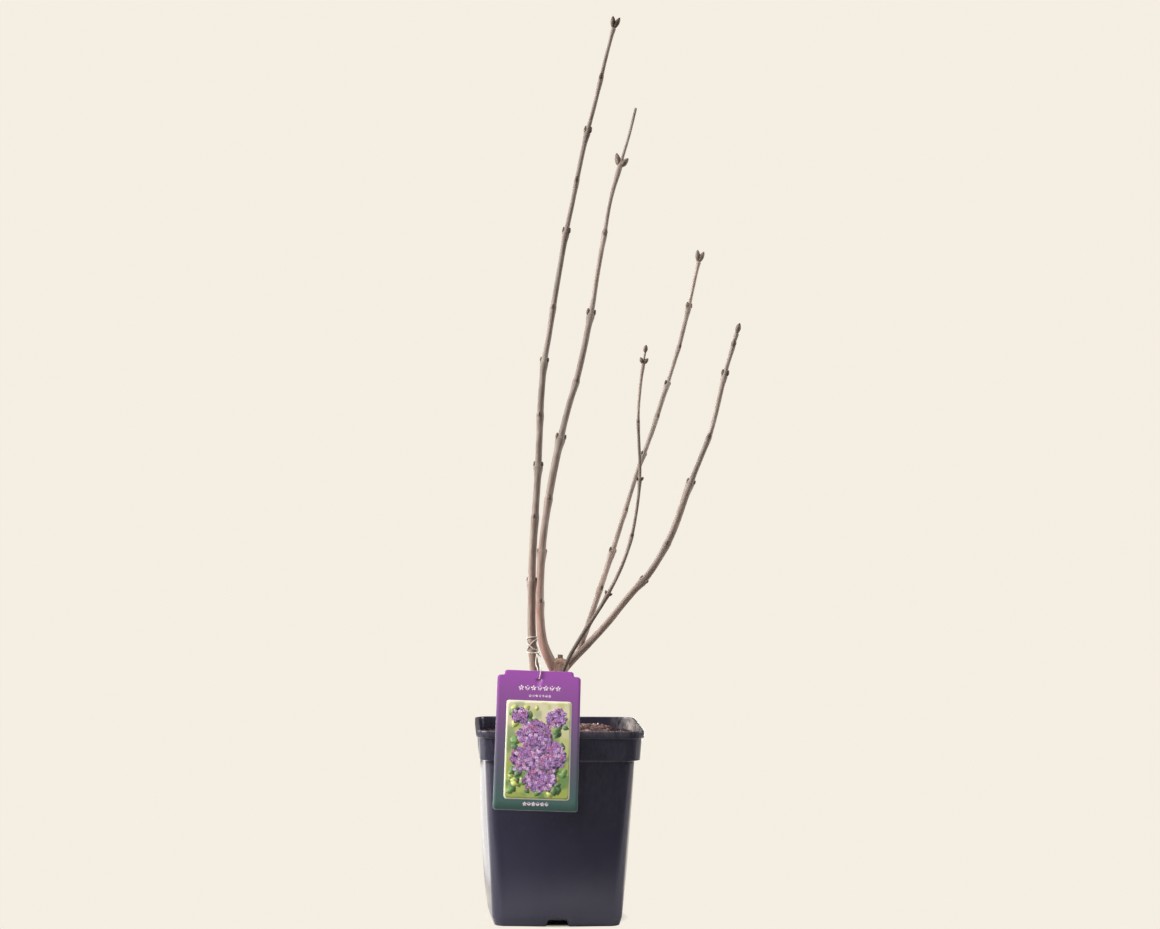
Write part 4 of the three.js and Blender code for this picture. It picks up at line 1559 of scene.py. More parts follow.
@dataclass(frozen=True)
class Trunk:
    """The short stem between soil and fork, with a root flare, a burl and two pruned stubs."""

    line: tuple[Triple, ...] = (
        (-3, -1, 172.9), (-3, -1, 181), (-2, 0, 200), (0.3, 0, 220), (3.2, 0.4, 237.3),
    )
    radius: float = 7.4
    flare_width: float = 5.0
    flare_height: float = 6.0
    lobes: int = 5
    lobe_depth: float = 0.16
    burl_radius: float = 8.3
    burl_z: float = 228.0
    burl_height: float = 22.0
    rounding: float = 5.0
    ring_spacing: float = 0.55
    crown: float = 6.0
    lump_depth: float = 0.8
    fissure_width: float = 0.07
    fissure_depth: float = 0.3
    flush_heights: Pair = (205.0, 232.0)
    stubs: tuple[Stub, ...] = (
        Stub((1.4, 1.5, 228.0), (1.9, 2.0, 240.3), 2.4, 90),
        Stub((0.2, 0.5, 226.0), (-0.2, 0.8, 237.4), 2.1, 91),
    )
    columns: int = 110

    def build(self, bark: Material) -> Piece:
        """Make the trunk with its fissured bark, and the stubs on its crown.

        The radius is the stem's, plus a flare that dies away above the soil, plus a burl, times
        root lobes, with fissures where a stretched noise passes through zero.

        Args:
            bark: its finish.

        Returns:
            The finished piece.
        """
        spine = Spine(self.line)
        top = spine.total - self.crown * np.cos(np.linspace(0, math.pi / 2, 16))
        length = np.concatenate([np.arange(0.0, spine.total - self.crown, self.ring_spacing), top])
        turn = full_turn(self.columns)
        u, v = np.meshgrid(turn, length)
        height = spine.at(length)[:, 2][:, None]
        flare = self.flare_width * np.exp(-v / self.flare_height)
        burl = (self.burl_radius - self.radius) * bell(height - self.burl_z, self.burl_height / 2)
        to_top = np.clip(spine.total - v, 0.0, self.rounding) / self.rounding
        dome = np.sqrt(np.clip(1.0 - (1.0 - to_top) ** 2, 0.02, 1.0))
        lobe = 1.0 + self.lobe_depth * np.exp(-v / (2 * self.flare_height)) * np.cos(self.lobes * u)
        fissure = smoothstep(self.fissure_width, 0.0, np.abs(layered_noise(bark_place(u, v, 2.6, 9.0), 60)))
        lumps = layered_noise(bark_place(u, v, 1.3, 9.0), 70, 2)
        radius = (self.radius + flare + burl) * lobe + self.lump_depth * lumps
        radius = radius - self.fissure_depth * fissure + 0.1
        maker = MeshMaker("trunk_bark")
        maker.grid(spine.skin(length, turn, radius * dome), grain=bark_place(u, v, 7.0) * MM,
                   flush=0.6 * smoothstep(*self.flush_heights, height), scar=fissure * 0.4)
        for stub in self.stubs:
            stub.add(maker)
        return place_piece(maker.build([bark]), "bark", "trunk")


SHOOTS = (
    Shoot(
        name="shoot_tall", seed=101,
        line=((-4, -2, 177), (-13.8, -6.1, 196.2), (-20.2, -9, 211.7), (-22.8, -11.2, 233.3),
              (-24.7, -12.3, 251.2), (-25.4, -13.3, 272.2), (-25.5, -14.1, 293.1), (-25.2, -15.4, 328.1),
              (-22.3, -17.6, 383), (-20.9, -18.7, 407.9), (-20, -20.2, 437.9), (-19.5, -21.1, 455.8),
              (-18.8, -22.1, 474.8), (-16.1, -24, 509.6), (-12.2, -25.4, 533.3), (-7, -27.5, 568.8),
              (-2.7, -29.1, 595.4), (2.1, -30.7, 625), (7.7, -32.2, 652.4), (13.2, -33.9, 681.8),
              (19.9, -35.9, 714.1), (26, -37.5, 738.3), (31.1, -38.8, 759.7), (36.5, -40.3, 784),
              (43.5, -42, 812)),
        widths=(7.2, 7, 6.3, 6, 5.85, 5.2, 4.9, 4.25, 4.2, 3.85, 3.4),
        flare=4.8, flare_reach=60, flare_power=2,
        nodes=(308, 367, 413, 460, 508.5, 558, 625.5, 673, 716.5, 765.5),
        vigour=(0.9, 0.8, 1.1, 0.8, 1, 0.7, 1.25, 1, 1.35, 1.2),
        first_turn=15, end=EndBuds((0, 180), (12.6, 12.4), 4.2, 14), flush=0.75, flush_shade=0.2,
        tones=(0.41, 0.4, 0.47, 0.49, 0.48, 0.36, 0.52, 0.5, 0.58, 0.48, 0.47),
    ),
    Shoot(
        name="shoot_inner", seed=202,
        line=((-1, 0, 222), (-7.8, 0, 235.4), (-14.1, 1, 251), (-17, 3.4, 274.7), (-17.3, 5.3, 291.5),
              (-16.8, 8.1, 315.4), (-15.8, 10.3, 332.2), (-14.2, 13, 349.9), (-11.1, 16.9, 373.4),
              (-8.5, 19.8, 389.9), (-5.2, 22.9, 408.3), (-0.2, 26.8, 432.5), (5.2, 30.6, 455.6),
              (10, 33.6, 473.7), (16, 37.1, 493.6), (22.6, 42.1, 521.4), (28.5, 47.2, 551.4),
              (31.7, 49.6, 567.9), (36.4, 54.1, 599.2), (42.3, 59, 632.4), (45.3, 61.8, 650.9),
              (48.7, 64.5, 668.4), (56.4, 69.2, 695.9), (61.3, 71.9, 713), (66.5, 73.8, 731.2),
              (72.2, 76, 755.5)),
        widths=(7.5, 7.3, 6.7, 7.1, 5.8, 5.7, 4.5, 3.7, 2.8), flare=2.4, flare_reach=38, flare_power=2,
        nodes=(288, 334, 383, 439, 493, 556, 632.5),
        vigour=(0.9, 0.8, 0.9, 1.2, 1.1, 1.35, 1.5),
        first_turn=80, end=EndBuds((10, 190), (11.8, 14.6), 5.3, 26, 700, 0.8, 0.5, 0.3), end_swell=0.5,
        end_reach=16, flush=0.85, flush_turn=180, flush_shade=0.26,
        tones=(0.0, 0.22, 0.38, 0.48, 0.53, 0.53, 0.34, 0.43, 0.48),
    ),
    Shoot(
        name="shoot_low_right", seed=303,
        line=((1, 0, 222), (10, 1, 232.6), (27.2, 2, 250.1), (45.7, -0.3, 270.8), (56.7, -2.2, 284.9),
              (67.9, -4, 298.8), (81.6, -6.2, 314.5), (92.2, -8.1, 331.3), (100.9, -9.9, 348.1),
              (107.5, -11.3, 364.8), (114.6, -12.9, 386.6), (120.5, -14.1, 402.5), (128.5, -15.6, 422.9),
              (136.9, -17.1, 445.3), (142.6, -18.2, 467.5), (149.9, -19.7, 500.7), (155.2, -20.9, 519.9),
              (160.1, -22, 537.5)),
        widths=(6.1, 6.1, 6.5, 4.7, 4.3, 3.8, 3.3), flare=2.6, flare_reach=28,
        nodes=(309, 343.5, 399, 441.5, 498, 525.5),
        vigour=(0.85, 0.75, 0.95, 1, 1.25, 1.45),
        first_turn=8, end=EndBuds((0,), (11.5,), 4.6, 0, pale=0.3), flush=0.3,
        tones=(0.25, 0.32, 0.3, 0.45, 0.2, 0.34, 0.34),
    ),
    Shoot(
        name="shoot_middle_right", seed=404,
        line=((19.5, 1.7, 241.5), (21.4, 4.9, 251.8), (26.1, 9, 263.1), (34.2, 17.1, 286.3),
              (41.7, 24.3, 308), (51.7, 33.5, 337.1), (61.6, 42.2, 367.4), (69.8, 49.1, 393.3),
              (76.2, 54.1, 412.6), (83.7, 59.4, 432.6), (89.9, 63.6, 449), (95.3, 67.1, 465.8),
              (103.2, 71.3, 490.2), (108.7, 74.5, 507), (115.4, 78.8, 528.6), (121.8, 83.2, 553.4),
              (128, 87.4, 580.4), (134.8, 92, 611.5)),
        widths=(5.1, 5.4, 4.6, 4.2, 4.4, 4.6, 3.65, 4.1, 3.5), flare=1.9,
        nodes=(300, 334, 373, 425, 462, 492, 528, 566),
        vigour=(0.9, 1, 0.8, 0.85, 0.7, 0.95, 0.95, 1.25),
        first_turn=60, end=EndBuds((0, 180), (13, 13.5), 4.4, 13, pale=0.4), flush=0.3,
        tones=(0.22, 0.1, 0.16, 0.25, 0.25, 0.25, 0.19, 0.37, 0),
    ),
    Shoot(
        name="shoot_thin", seed=505,
        line=((0, -2, 212), (4.8, -9.5, 227.6), (9.9, -10, 239.3), (20.3, -9.5, 257.5), (32.2, -9.5, 276),
              (41.6, -10.9, 291.6), (55.4, -15.8, 320), (62.5, -19.6, 340.5), (66.6, -22.9, 357.7),
              (70, -28.1, 381.9), (71.2, -31.7, 398.5), (71.2, -35.2, 416.2), (70, -38.6, 433.9),
              (68.6, -43.8, 461.3), (70.3, -49.3, 489.7), (73.8, -54, 518)),
        widths=(3.6, 3.5, 3.5, 2.9, 2.8, 2.85, 1.6), flare=0.4,
        nodes=(269, 297, 351, 402, 455, 507.5),
        vigour=(0.8, 0.9, 1.2, 1, 0.9, 1.45),
        first_turn=90, end=EndBuds((0,), (8.2,), 3.8, 0, pale=0.3), flush=0.1,
        tones=(0.76, 0.65, 0.36, 0.49, 0.54, 0.1, 0.22),
        columns=28, bud_width=2.5, bud_lean=32, bud_drop=1.6, bud_root_power=1.0,
    ),
)


# ------------------------------------------------------------------ the label and its string


def rounded_outline(rounds: Sequence[tuple[float, ...]], steps: int, spacing: float) -> Array:
    """A closed line through arcs, with points on the straight spans between them.

    Args:
        rounds: for each arc the x and y of its middle, its radius, and its first and last angle
            in quarter turns.
        steps: spans in an arc.
        spacing: the greatest distance between neighbours.

    Returns:
        Points, shape (n, 2).
    """
    loop = np.concatenate([
        np.array([x, y]) + radius * circle(np.linspace(first, last, steps + 1) * math.pi / 2)
        for x, y, radius, first, last in rounds
    ])
    spans = []
    for start, end in zip(loop, np.roll(loop, -1, axis=0)):
        reach = np.linalg.norm(end - start)
        count = math.ceil(reach / spacing) if reach > 1e-6 else 0
        spans.append(start + (end - start) * (np.arange(count) / max(count, 1))[:, None])
    return np.concatenate(spans)


def with_zero(flat: Array) -> Array:
    """Flat points with 0 as their third number."""
    return np.concatenate([flat, np.zeros_like(flat[..., :1])], -1)


def turned(x: Array, y: Array, angle: Array) -> Array:
    """Flat points turned round the origin."""
    return np.stack([x * np.cos(angle) - y * np.sin(angle), x * np.sin(angle) + y * np.cos(angle)], -1)


def weld(piece: Piece, distance: float) -> None:
    """Merge points that lie together.

    Args:
        piece: the object.
        distance: how near, in millimetres.
    """
    work = bmesh.new()
    work.from_mesh(piece.data)
    bmesh.ops.remove_doubles(work, verts=work.verts, dist=distance * MM)
    work.to_mesh(piece.data)
    work.free()


@dataclass(frozen=True)
class Card:
    """The label's card: its outline, and where a point of the card lies in the plant's frame."""

    width: float = 75.0
    height: float = 127.0
    thickness: float = 0.6
    corner_radius: float = 2.5
    step_width: float = 4.6
    step_drop: float = 4.6
    step_radius: float = 3.2
    scoop_radius: float = 1.9
    edge_radius: float = 2.4
    middle_x: float = -21.4
    middle_z: float = 169.3
    lean: float = 18.0
    twist: float = -1.8
    lip_half: float = 75.5
    lip_z: float = 177.0
    bow: float = 0.3
    punch: Pair = (0.0, 55.3)
    punch_radius: float = 1.5
    rings: int = 16
    inset: float = 0.12
    edge_share: float = 0.6

    def frame(self) -> tuple[Array, Array]:
        """The card's turn and middle: stood up, leaned back, and twisted in its own plane.

        Returns:
            A matrix whose columns are the card's right, up and face directions, and its middle.
        """
        lean, twist = math.radians(self.lean), math.radians(self.twist)
        gap = (self.thickness / 2 + CLEARANCE) / math.cos(lean)
        middle_y = -self.lip_half - gap + (self.middle_z - self.lip_z) * math.tan(lean)
        stand = Matrix.Rotation(math.pi / 2 - lean, 3, "X") @ Matrix.Rotation(twist, 3, "Z")
        return np.array(stand), np.array([self.middle_x, middle_y, self.middle_z])

    def carry(self, flat: Array, out: Array | float) -> Array:
        """Carry points of the card into the plant's frame.

        The card is a little bowed: its sides come forward by the square of their share of the
        half width.

        Args:
            flat: places on the card, shape (..., 2).
            out: how far out from its middle plane they lie.

        Returns:
            Points, shape (..., 3).
        """
        turn, middle = self.frame()
        bowed = out + self.bow * (flat[..., 0] / (self.width / 2)) ** 2
        return np.concatenate([flat, bowed[..., None]], -1) @ turn.T + middle

    def outline(self) -> Array:
        """The card's edge from the top's left end round by the left, with stepped top corners.

        Returns:
            Points on the card, shape (n, 2), anticlockwise seen from its face.
        """
        side, top = self.width / 2, self.height / 2
        step = top - self.step_drop
        corner, round_step = self.corner_radius, self.step_radius
        scoop, edge = self.scoop_radius, self.edge_radius
        scoop_x = side - self.step_width
        edge_x = scoop_x - scoop - edge
        return rounded_outline([
            (-edge_x, top - edge, edge, 1, 2), (-scoop_x, step + scoop, scoop, 0, -1),
            (-side + round_step, step - round_step, round_step, 1, 2),
            (-side + corner, -top + corner, corner, 2, 3), (side - corner, -top + corner, corner, 3, 4),
            (side - round_step, step - round_step, round_step, 0, 1),
            (scoop_x, step + scoop, scoop, -1, -2), (edge_x, top - edge, edge, 0, 1),
        ], 7, 3.0)

    def build(self, face: Material, back: Material, core: Material) -> Piece:
        """Make the card as rings from its hole to its edge, front and back.

        A ring at share s lies s of the way from the hole's circle to the outline, seen from the
        hole's centre. The edge between front and back is rounded by half the thickness.

        Args:
            face: the finish of its front.
            back: of its back.
            core: of its edges.

        Returns:
            The finished piece.
        """
        edge, hole, half = self.outline(), np.array(self.punch), self.thickness / 2
        reach = np.linalg.norm(edge - hole, axis=1, keepdims=True)
        share = np.linspace(0.0, 1.0, self.rings)[:, None, None]
        first, last = self.punch_radius, reach - self.inset
        flat = hole + (edge - hole) / reach * (first + (last - first) * share)
        front, rear, sheet = self.carry(flat, half), self.carry(flat[::-1], -half), with_zero(flat)
        bent = [self.carry(edge, half * share) for share in (self.edge_share, -self.edge_share)]
        maker = MeshMaker("label_sheet")
        for points, finish, place in (
            (front, 0, sheet), (np.stack([front[-1], *bent, rear[0]]), 2, sheet[-1:]),
            (rear, 1, sheet[::-1]), (np.stack([rear[-1], front[0]]), 2, sheet[:1]),
        ):
            maker.grid(points, caps=(False, False), flip=False, finish=finish, sheet=place)
        piece = maker.build([face, back, core], 30.0)
        weld(piece, 0.002)
        return place_piece(piece, "label_card", "label_card")


class Ink(Enum):
    """The print's colours, as written on screen."""

    BORDER = "#f3f0d6"
    SKY = "#f2e9bc"
    MEADOW = "#a3b43a"
    LEAF = "#5f8f36"
    LEAF_DEEP = "#3d6b2c"
    LEAF_PALE = "#c3cc62"
    PETAL = "#a266bb"
    PETAL_PALE = "#dcb0e4"
    PETAL_DEEP = "#6b3584"
    PETAL_PINK = "#b8589f"
    EYE = "#efdcae"
    LINE = "#efd3e8"

    @property
    def tint(self) -> Array:
        """The linear red, green and blue."""
        return np.array(linear(self.value)[:3])


@dataclass(frozen=True)
class Florets:
    """A layer of florets: how high it lies, its net's spacing, the sizes, and how far the heads grow."""

    layer: float
    spacing: float
    sizes: Pair
    grow: float


@dataclass(frozen=True)
class OrnamentRow:
    """A row of blossoms and sprigs in turn: its middle, and the pitch, number and size of its motifs."""

    middle: Pair
    pitch: float
    count: int
    size: float


@dataclass(frozen=True)
class Print:
    """A made-up garden picture for the card: round heads of five-petalled florets among leaves."""

    card: Card = Card()
    panel_middle: Pair = (0.8, -8.9)
    panel_size: Pair = (58.4, 89.6)
    panel_radius: float = 2.6
    panel_rings: int = 30
    border: float = 1.0
    layer: float = 0.03
    heads: tuple[tuple[float, float, float, float], ...] = (
        (-3.0, 13.0, 16.0, 14.0), (12.0, -5.0, 13.5, 14.0), (-10.5, -9.0, 14.0, 12.0),
        (-16.5, 31.0, 8.0, 7.5), (15.5, 29.0, 9.0, 8.5), (2.0, -27.0, 15.0, 10.5),
    )
    leaf_layers: tuple[tuple[float, int], ...] = ((3.0, 90), (3.6, 60))
    leaf_lengths: Pair = (5.5, 10.5)
    shade_radius: float = 1.7
    florets: tuple[Florets, ...] = (Florets(5.2, 3.1, (1.7, 2.3), 1.04), Florets(6.2, 3.6, (1.6, 2.2), 0.94))
    violets: tuple[tuple[Ink, float], ...] = (
        (Ink.PETAL, 0.42), (Ink.PETAL_PALE, 0.26), (Ink.PETAL_DEEP, 0.14), (Ink.PETAL_PINK, 0.18),
    )
    rows: tuple[OrnamentRow, ...] = (
        OrnamentRow((1.1, 47.3), 5.5, 7, 2.6), OrnamentRow((1.4, 40.2), 2.9, 7, 1.3),
        OrnamentRow((0.2, -57.8), 3.9, 6, 1.9),
    )
    seed: int = 12

    def lay(self, maker: MeshMaker, flat: Array, layer: float, ink: Array) -> None:
        """Print rings of places on the card, of which the last one closes the side below.

        Args:
            maker: the mesh to add to.
            flat: places, shape (..., rows, columns, 2).
            layer: how far above the card they lie, in layers.
            ink: their linear colours.
        """
        level = np.full((flat.shape[-3], 1), self.card.thickness / 2 + self.layer * layer)
        level[-1] -= self.layer
        points = self.card.carry(flat, level)
        maker.grid(points, caps=(True, False), flip=False, ink=ink, sheet=with_zero(flat))

    def tile(self, maker: MeshMaker, outline: Array, layer: float, middle_tint: Array,
             edge_tint: Array) -> None:
        """Add flat shapes: each is a fan from its middle to its outline, with a low closed side.

        Args:
            maker: the mesh to add to.
            outline: shape (items, n, 2), in card millimetres.
            layer: how far above the card the shapes lie, in layers.
            middle_tint: linear colours at the middles, for each item or for all.
            edge_tint: linear colours at the outlines.
        """
        middle = outline.mean(1, keepdims=True)
        share = np.array([0.05, 1.0, 1.0])[:, None, None]
        shape = (len(outline), 3)
        first, last = (np.broadcast_to(tint, shape)[:, None, None] for tint in (middle_tint, edge_tint))
        flat = middle[:, None] + (outline - middle)[:, None] * share
        self.lay(maker, flat, layer, first + (last - first) * share)

    def panel(self, maker: MeshMaker, shrink: float, layer: float, picture: bool) -> None:
        """Add a rounded panel: the pale border, or inside it the picture's blurred garden ground.

        The ground's colour runs from meadow green at the bottom to a pale sky at the top, with
        soft patches where a slow noise mixes in leaf green.

        Args:
            maker: the mesh to add to.
            shrink: how much narrower it is than the whole panel on each side.
            layer: how far above the card it lies, in layers.
            picture: whether it is the picture's ground.
        """
        radius, middle = self.panel_radius, np.array(self.panel_middle)
        half_x, half_y = (size / 2 - shrink - radius for size in self.panel_size)
        signs = ((1, 1), (-1, 1), (-1, -1), (1, -1))
        corners = [(x * half_x, y * half_y, radius, turn, turn + 1) for turn, (x, y) in enumerate(signs)]
        share = np.append(np.linspace(0.02, 1.0, self.panel_rings), 1.0)[:, None, None]
        flat = middle + rounded_outline(corners, 6, 1.6) * share
        ink = np.ones((*flat.shape[:2], 3)) * Ink.BORDER.tint
        if picture:
            rise = smoothstep(-34.0, 30.0, flat[..., 1:])
            ink = Ink.MEADOW.tint + (Ink.SKY.tint - Ink.MEADOW.tint) * rise
            patch = smoothstep(-0.1, 0.45, value_noise(with_zero(flat) / 8.0, 4))[..., None]
            ink = ink + (Ink.LEAF.tint - ink) * patch * (1.0 - 0.55 * rise)
            light = smoothstep(0.0, 0.6, value_noise(with_zero(flat) / 5.0, 9))[..., None]
            ink = ink + (Ink.LEAF_PALE.tint - ink) * light * 0.6
        self.lay(maker, flat, layer, ink)

    def leaves(self, draw: np.random.Generator, middle: Array, length: Array, heading: Array,
               width: float = 0.36) -> Array:
        """Leaf outlines: half width sin(pi t) (1.25 - 0.6 t), bent a little.

        Args:
            draw: the source of random numbers.
            middle: the leaves' places.
            length: their lengths.
            heading: the angles at which they point.
            width: half their width for each unit of length.

        Returns:
            Outlines, shape (leaves, n, 2).
        """
        t = np.linspace(0.0, 1.0, 6)
        wide = width * np.sin(math.pi * t) * (1.25 - 0.6 * t)
        side = np.concatenate([wide, -wide[-2:0:-1]])
        run = np.concatenate([t, t[-2:0:-1]]) - 0.5
        bend = draw.uniform(-0.25, 0.25, len(middle))[:, None] * (run**2 - 0.2)
        long = length[:, None]
        return middle[:, None] + turned(run * long, (side + bend) * long, heading[:, None])

    def petals(self, middle: Array, size: Array, spin: Array) -> Array:
        """Five petal outlines round each flower's middle: ovals that lean out from it.

        Args:
            middle: the flowers' places.
            size: their petals' lengths.
            spin: their turns.

        Returns:
            Outlines, shape (five for each flower, n, 2).
        """
        angle = full_turn(8)
        x = 0.55 + 0.45 * np.cos(angle)
        y = 0.30 * np.sin(angle) * (1.0 + 0.3 * np.cos(angle))
        turn = (spin[:, None] + full_turn(5)).ravel()[:, None]
        return np.repeat(middle, 5, 0)[:, None] + turned(x, y, turn) * np.repeat(size, 5)[:, None, None]

    def discs(self, middle: Array, radius: Array, sides: int = 8) -> Array:
        """Small round outlines."""
        return middle[:, None] + circle(full_turn(sides)) * radius[:, None, None]

    def inside(self, place: Array, reach: Array | float) -> Array:
        """Which places keep a reach away from the picture's edge.

        Args:
            place: places in card millimetres.
            reach: how far they keep away.

        Returns:
            Whether each place does.
        """
        half = np.array(self.panel_size) / 2 - self.border
        off = np.abs(place - np.array(self.panel_middle))
        return (off + np.asarray(reach)[..., None] < half).all(-1)

    def in_heads(self, draw: np.random.Generator, spacing: float, grow: float) -> Array:
        """Places on a jittered net that lie in a flower head.

        The depth of a place in an oval head is 1 - d^2, where d is its distance from the head's
        middle in units of the oval. A place stays if its greatest depth is above a random one.

        Args:
            draw: the source of random numbers.
            spacing: the net's spacing in millimetres.
            grow: how much larger than its oval a head is taken.

        Returns:
            Places, shape (n, 2).
        """
        x, y = np.meshgrid(*(np.arange(-size / 2, size / 2, spacing) for size in self.panel_size))
        place = np.column_stack([x.ravel(), y.ravel()]) + draw.uniform(-0.5, 0.5, (x.size, 2)) * spacing
        heads = np.array(self.heads)
        off = (place[:, None] - heads[:, :2]) / (heads[:, 2:] * grow)
        depth = (1.0 - (off**2).sum(-1)).max(1)
        return (place + np.array(self.panel_middle))[depth > draw.uniform(0.0, 0.25, len(place))]

    def build(self, ink: Material) -> Piece:
        """Lay the panel, leaves, flowers and the small ornaments above and below them.

        Args:
            ink: its finish.

        Returns:
            The finished piece.
        """
        draw = np.random.default_rng(self.seed)
        maker = MeshMaker("label_print")
        self.panel(maker, 0.0, 1.0, False)
        self.panel(maker, self.border, 2.0, True)
        greens = np.array([Ink.LEAF.tint, Ink.LEAF_DEEP.tint, Ink.LEAF_PALE.tint])
        for layer, count in self.leaf_layers:
            place = draw.uniform(-0.5, 0.5, (count, 2)) * self.panel_size + np.array(self.panel_middle)
            length = draw.uniform(*self.leaf_lengths, count)
            sparse = draw.random(count) > 0.5 * smoothstep(5.0, 35.0, place[:, 1])
            keep = self.inside(place, length / 2) & sparse
            place, length = place[keep], length[keep]
            tone = greens[draw.integers(0, 3, len(place))]
            leaves = self.leaves(draw, place, length, draw.uniform(0, TAU, len(place)))
            self.tile(maker, leaves, layer, tone * 1.5, tone * 0.9)
        shade = self.in_heads(draw, 2.1, 0.96)
        shade = shade[self.inside(shade, self.shade_radius)]
        dark = Ink.PETAL_DEEP.tint * 0.55
        self.tile(maker, self.discs(shade, np.full(len(shade), self.shade_radius)), 4.4, dark, dark)
        inks, odds = zip(*self.violets)
        violets = np.array([violet.tint for violet in inks])
        for kind in self.florets:
            place = self.in_heads(draw, kind.spacing, kind.grow)
            size = draw.uniform(*kind.sizes, len(place))
            keep = self.inside(place, size)
            place, size = place[keep], size[keep]
            petals = self.petals(place, size, draw.uniform(0, TAU, len(place)))
            tone = np.repeat(violets[draw.choice(len(odds), len(place), p=odds)], 5, 0)
            tone = tone * draw.uniform(0.75, 1.3, (len(tone), 1))
            self.tile(maker, petals, kind.layer, tone * 0.6, tone * 1.25)
            eyes = self.discs(place, size * 0.16, 6)
            self.tile(maker, eyes, kind.layer + 0.5, Ink.EYE.tint, Ink.EYE.tint * 0.8)
        self.ornaments(maker)
        return place_piece(maker.build([ink]), "label_card")

    def ornaments(self, maker: MeshMaker) -> None:
        """Add pale ornaments above and below the picture: rows of blossoms, buds and paired leaves.

        Args:
            maker: the mesh to add to.
        """
        draw = np.random.default_rng(8)
        upright = math.pi / 2
        for row in self.rows:
            number, size = np.arange(row.count), row.size
            along = row.middle[0] + (number - (row.count - 1) / 2) * row.pitch
            place = np.column_stack([along, np.full(row.count, row.middle[1])])
            flower, sprig = place[number % 2 == 0], place[number % 2 == 1]
            ones = np.ones(len(sprig))
            outlines = [self.petals(flower, np.full(len(flower), size), np.full(len(flower), upright))]
            for side in (-1.0, 1.0):
                off = sprig + np.array([side * size * 0.42, -size * 0.1])
                outlines.append(self.leaves(draw, off, ones * size * 1.7, ones * (upright - side * 0.5), 0.2))
            outlines.append(self.discs(sprig + np.array([0.0, size * 0.75]), ones * size * 0.24))
            for outline in outlines:
                self.tile(maker, outline, 1.2, Ink.LINE.tint, Ink.LINE.tint)


@dataclass(frozen=True)
class Wrap:
    """One turn of string round the stem, whose height swings once on its way."""

    z: float
    swing: float
    phase: float


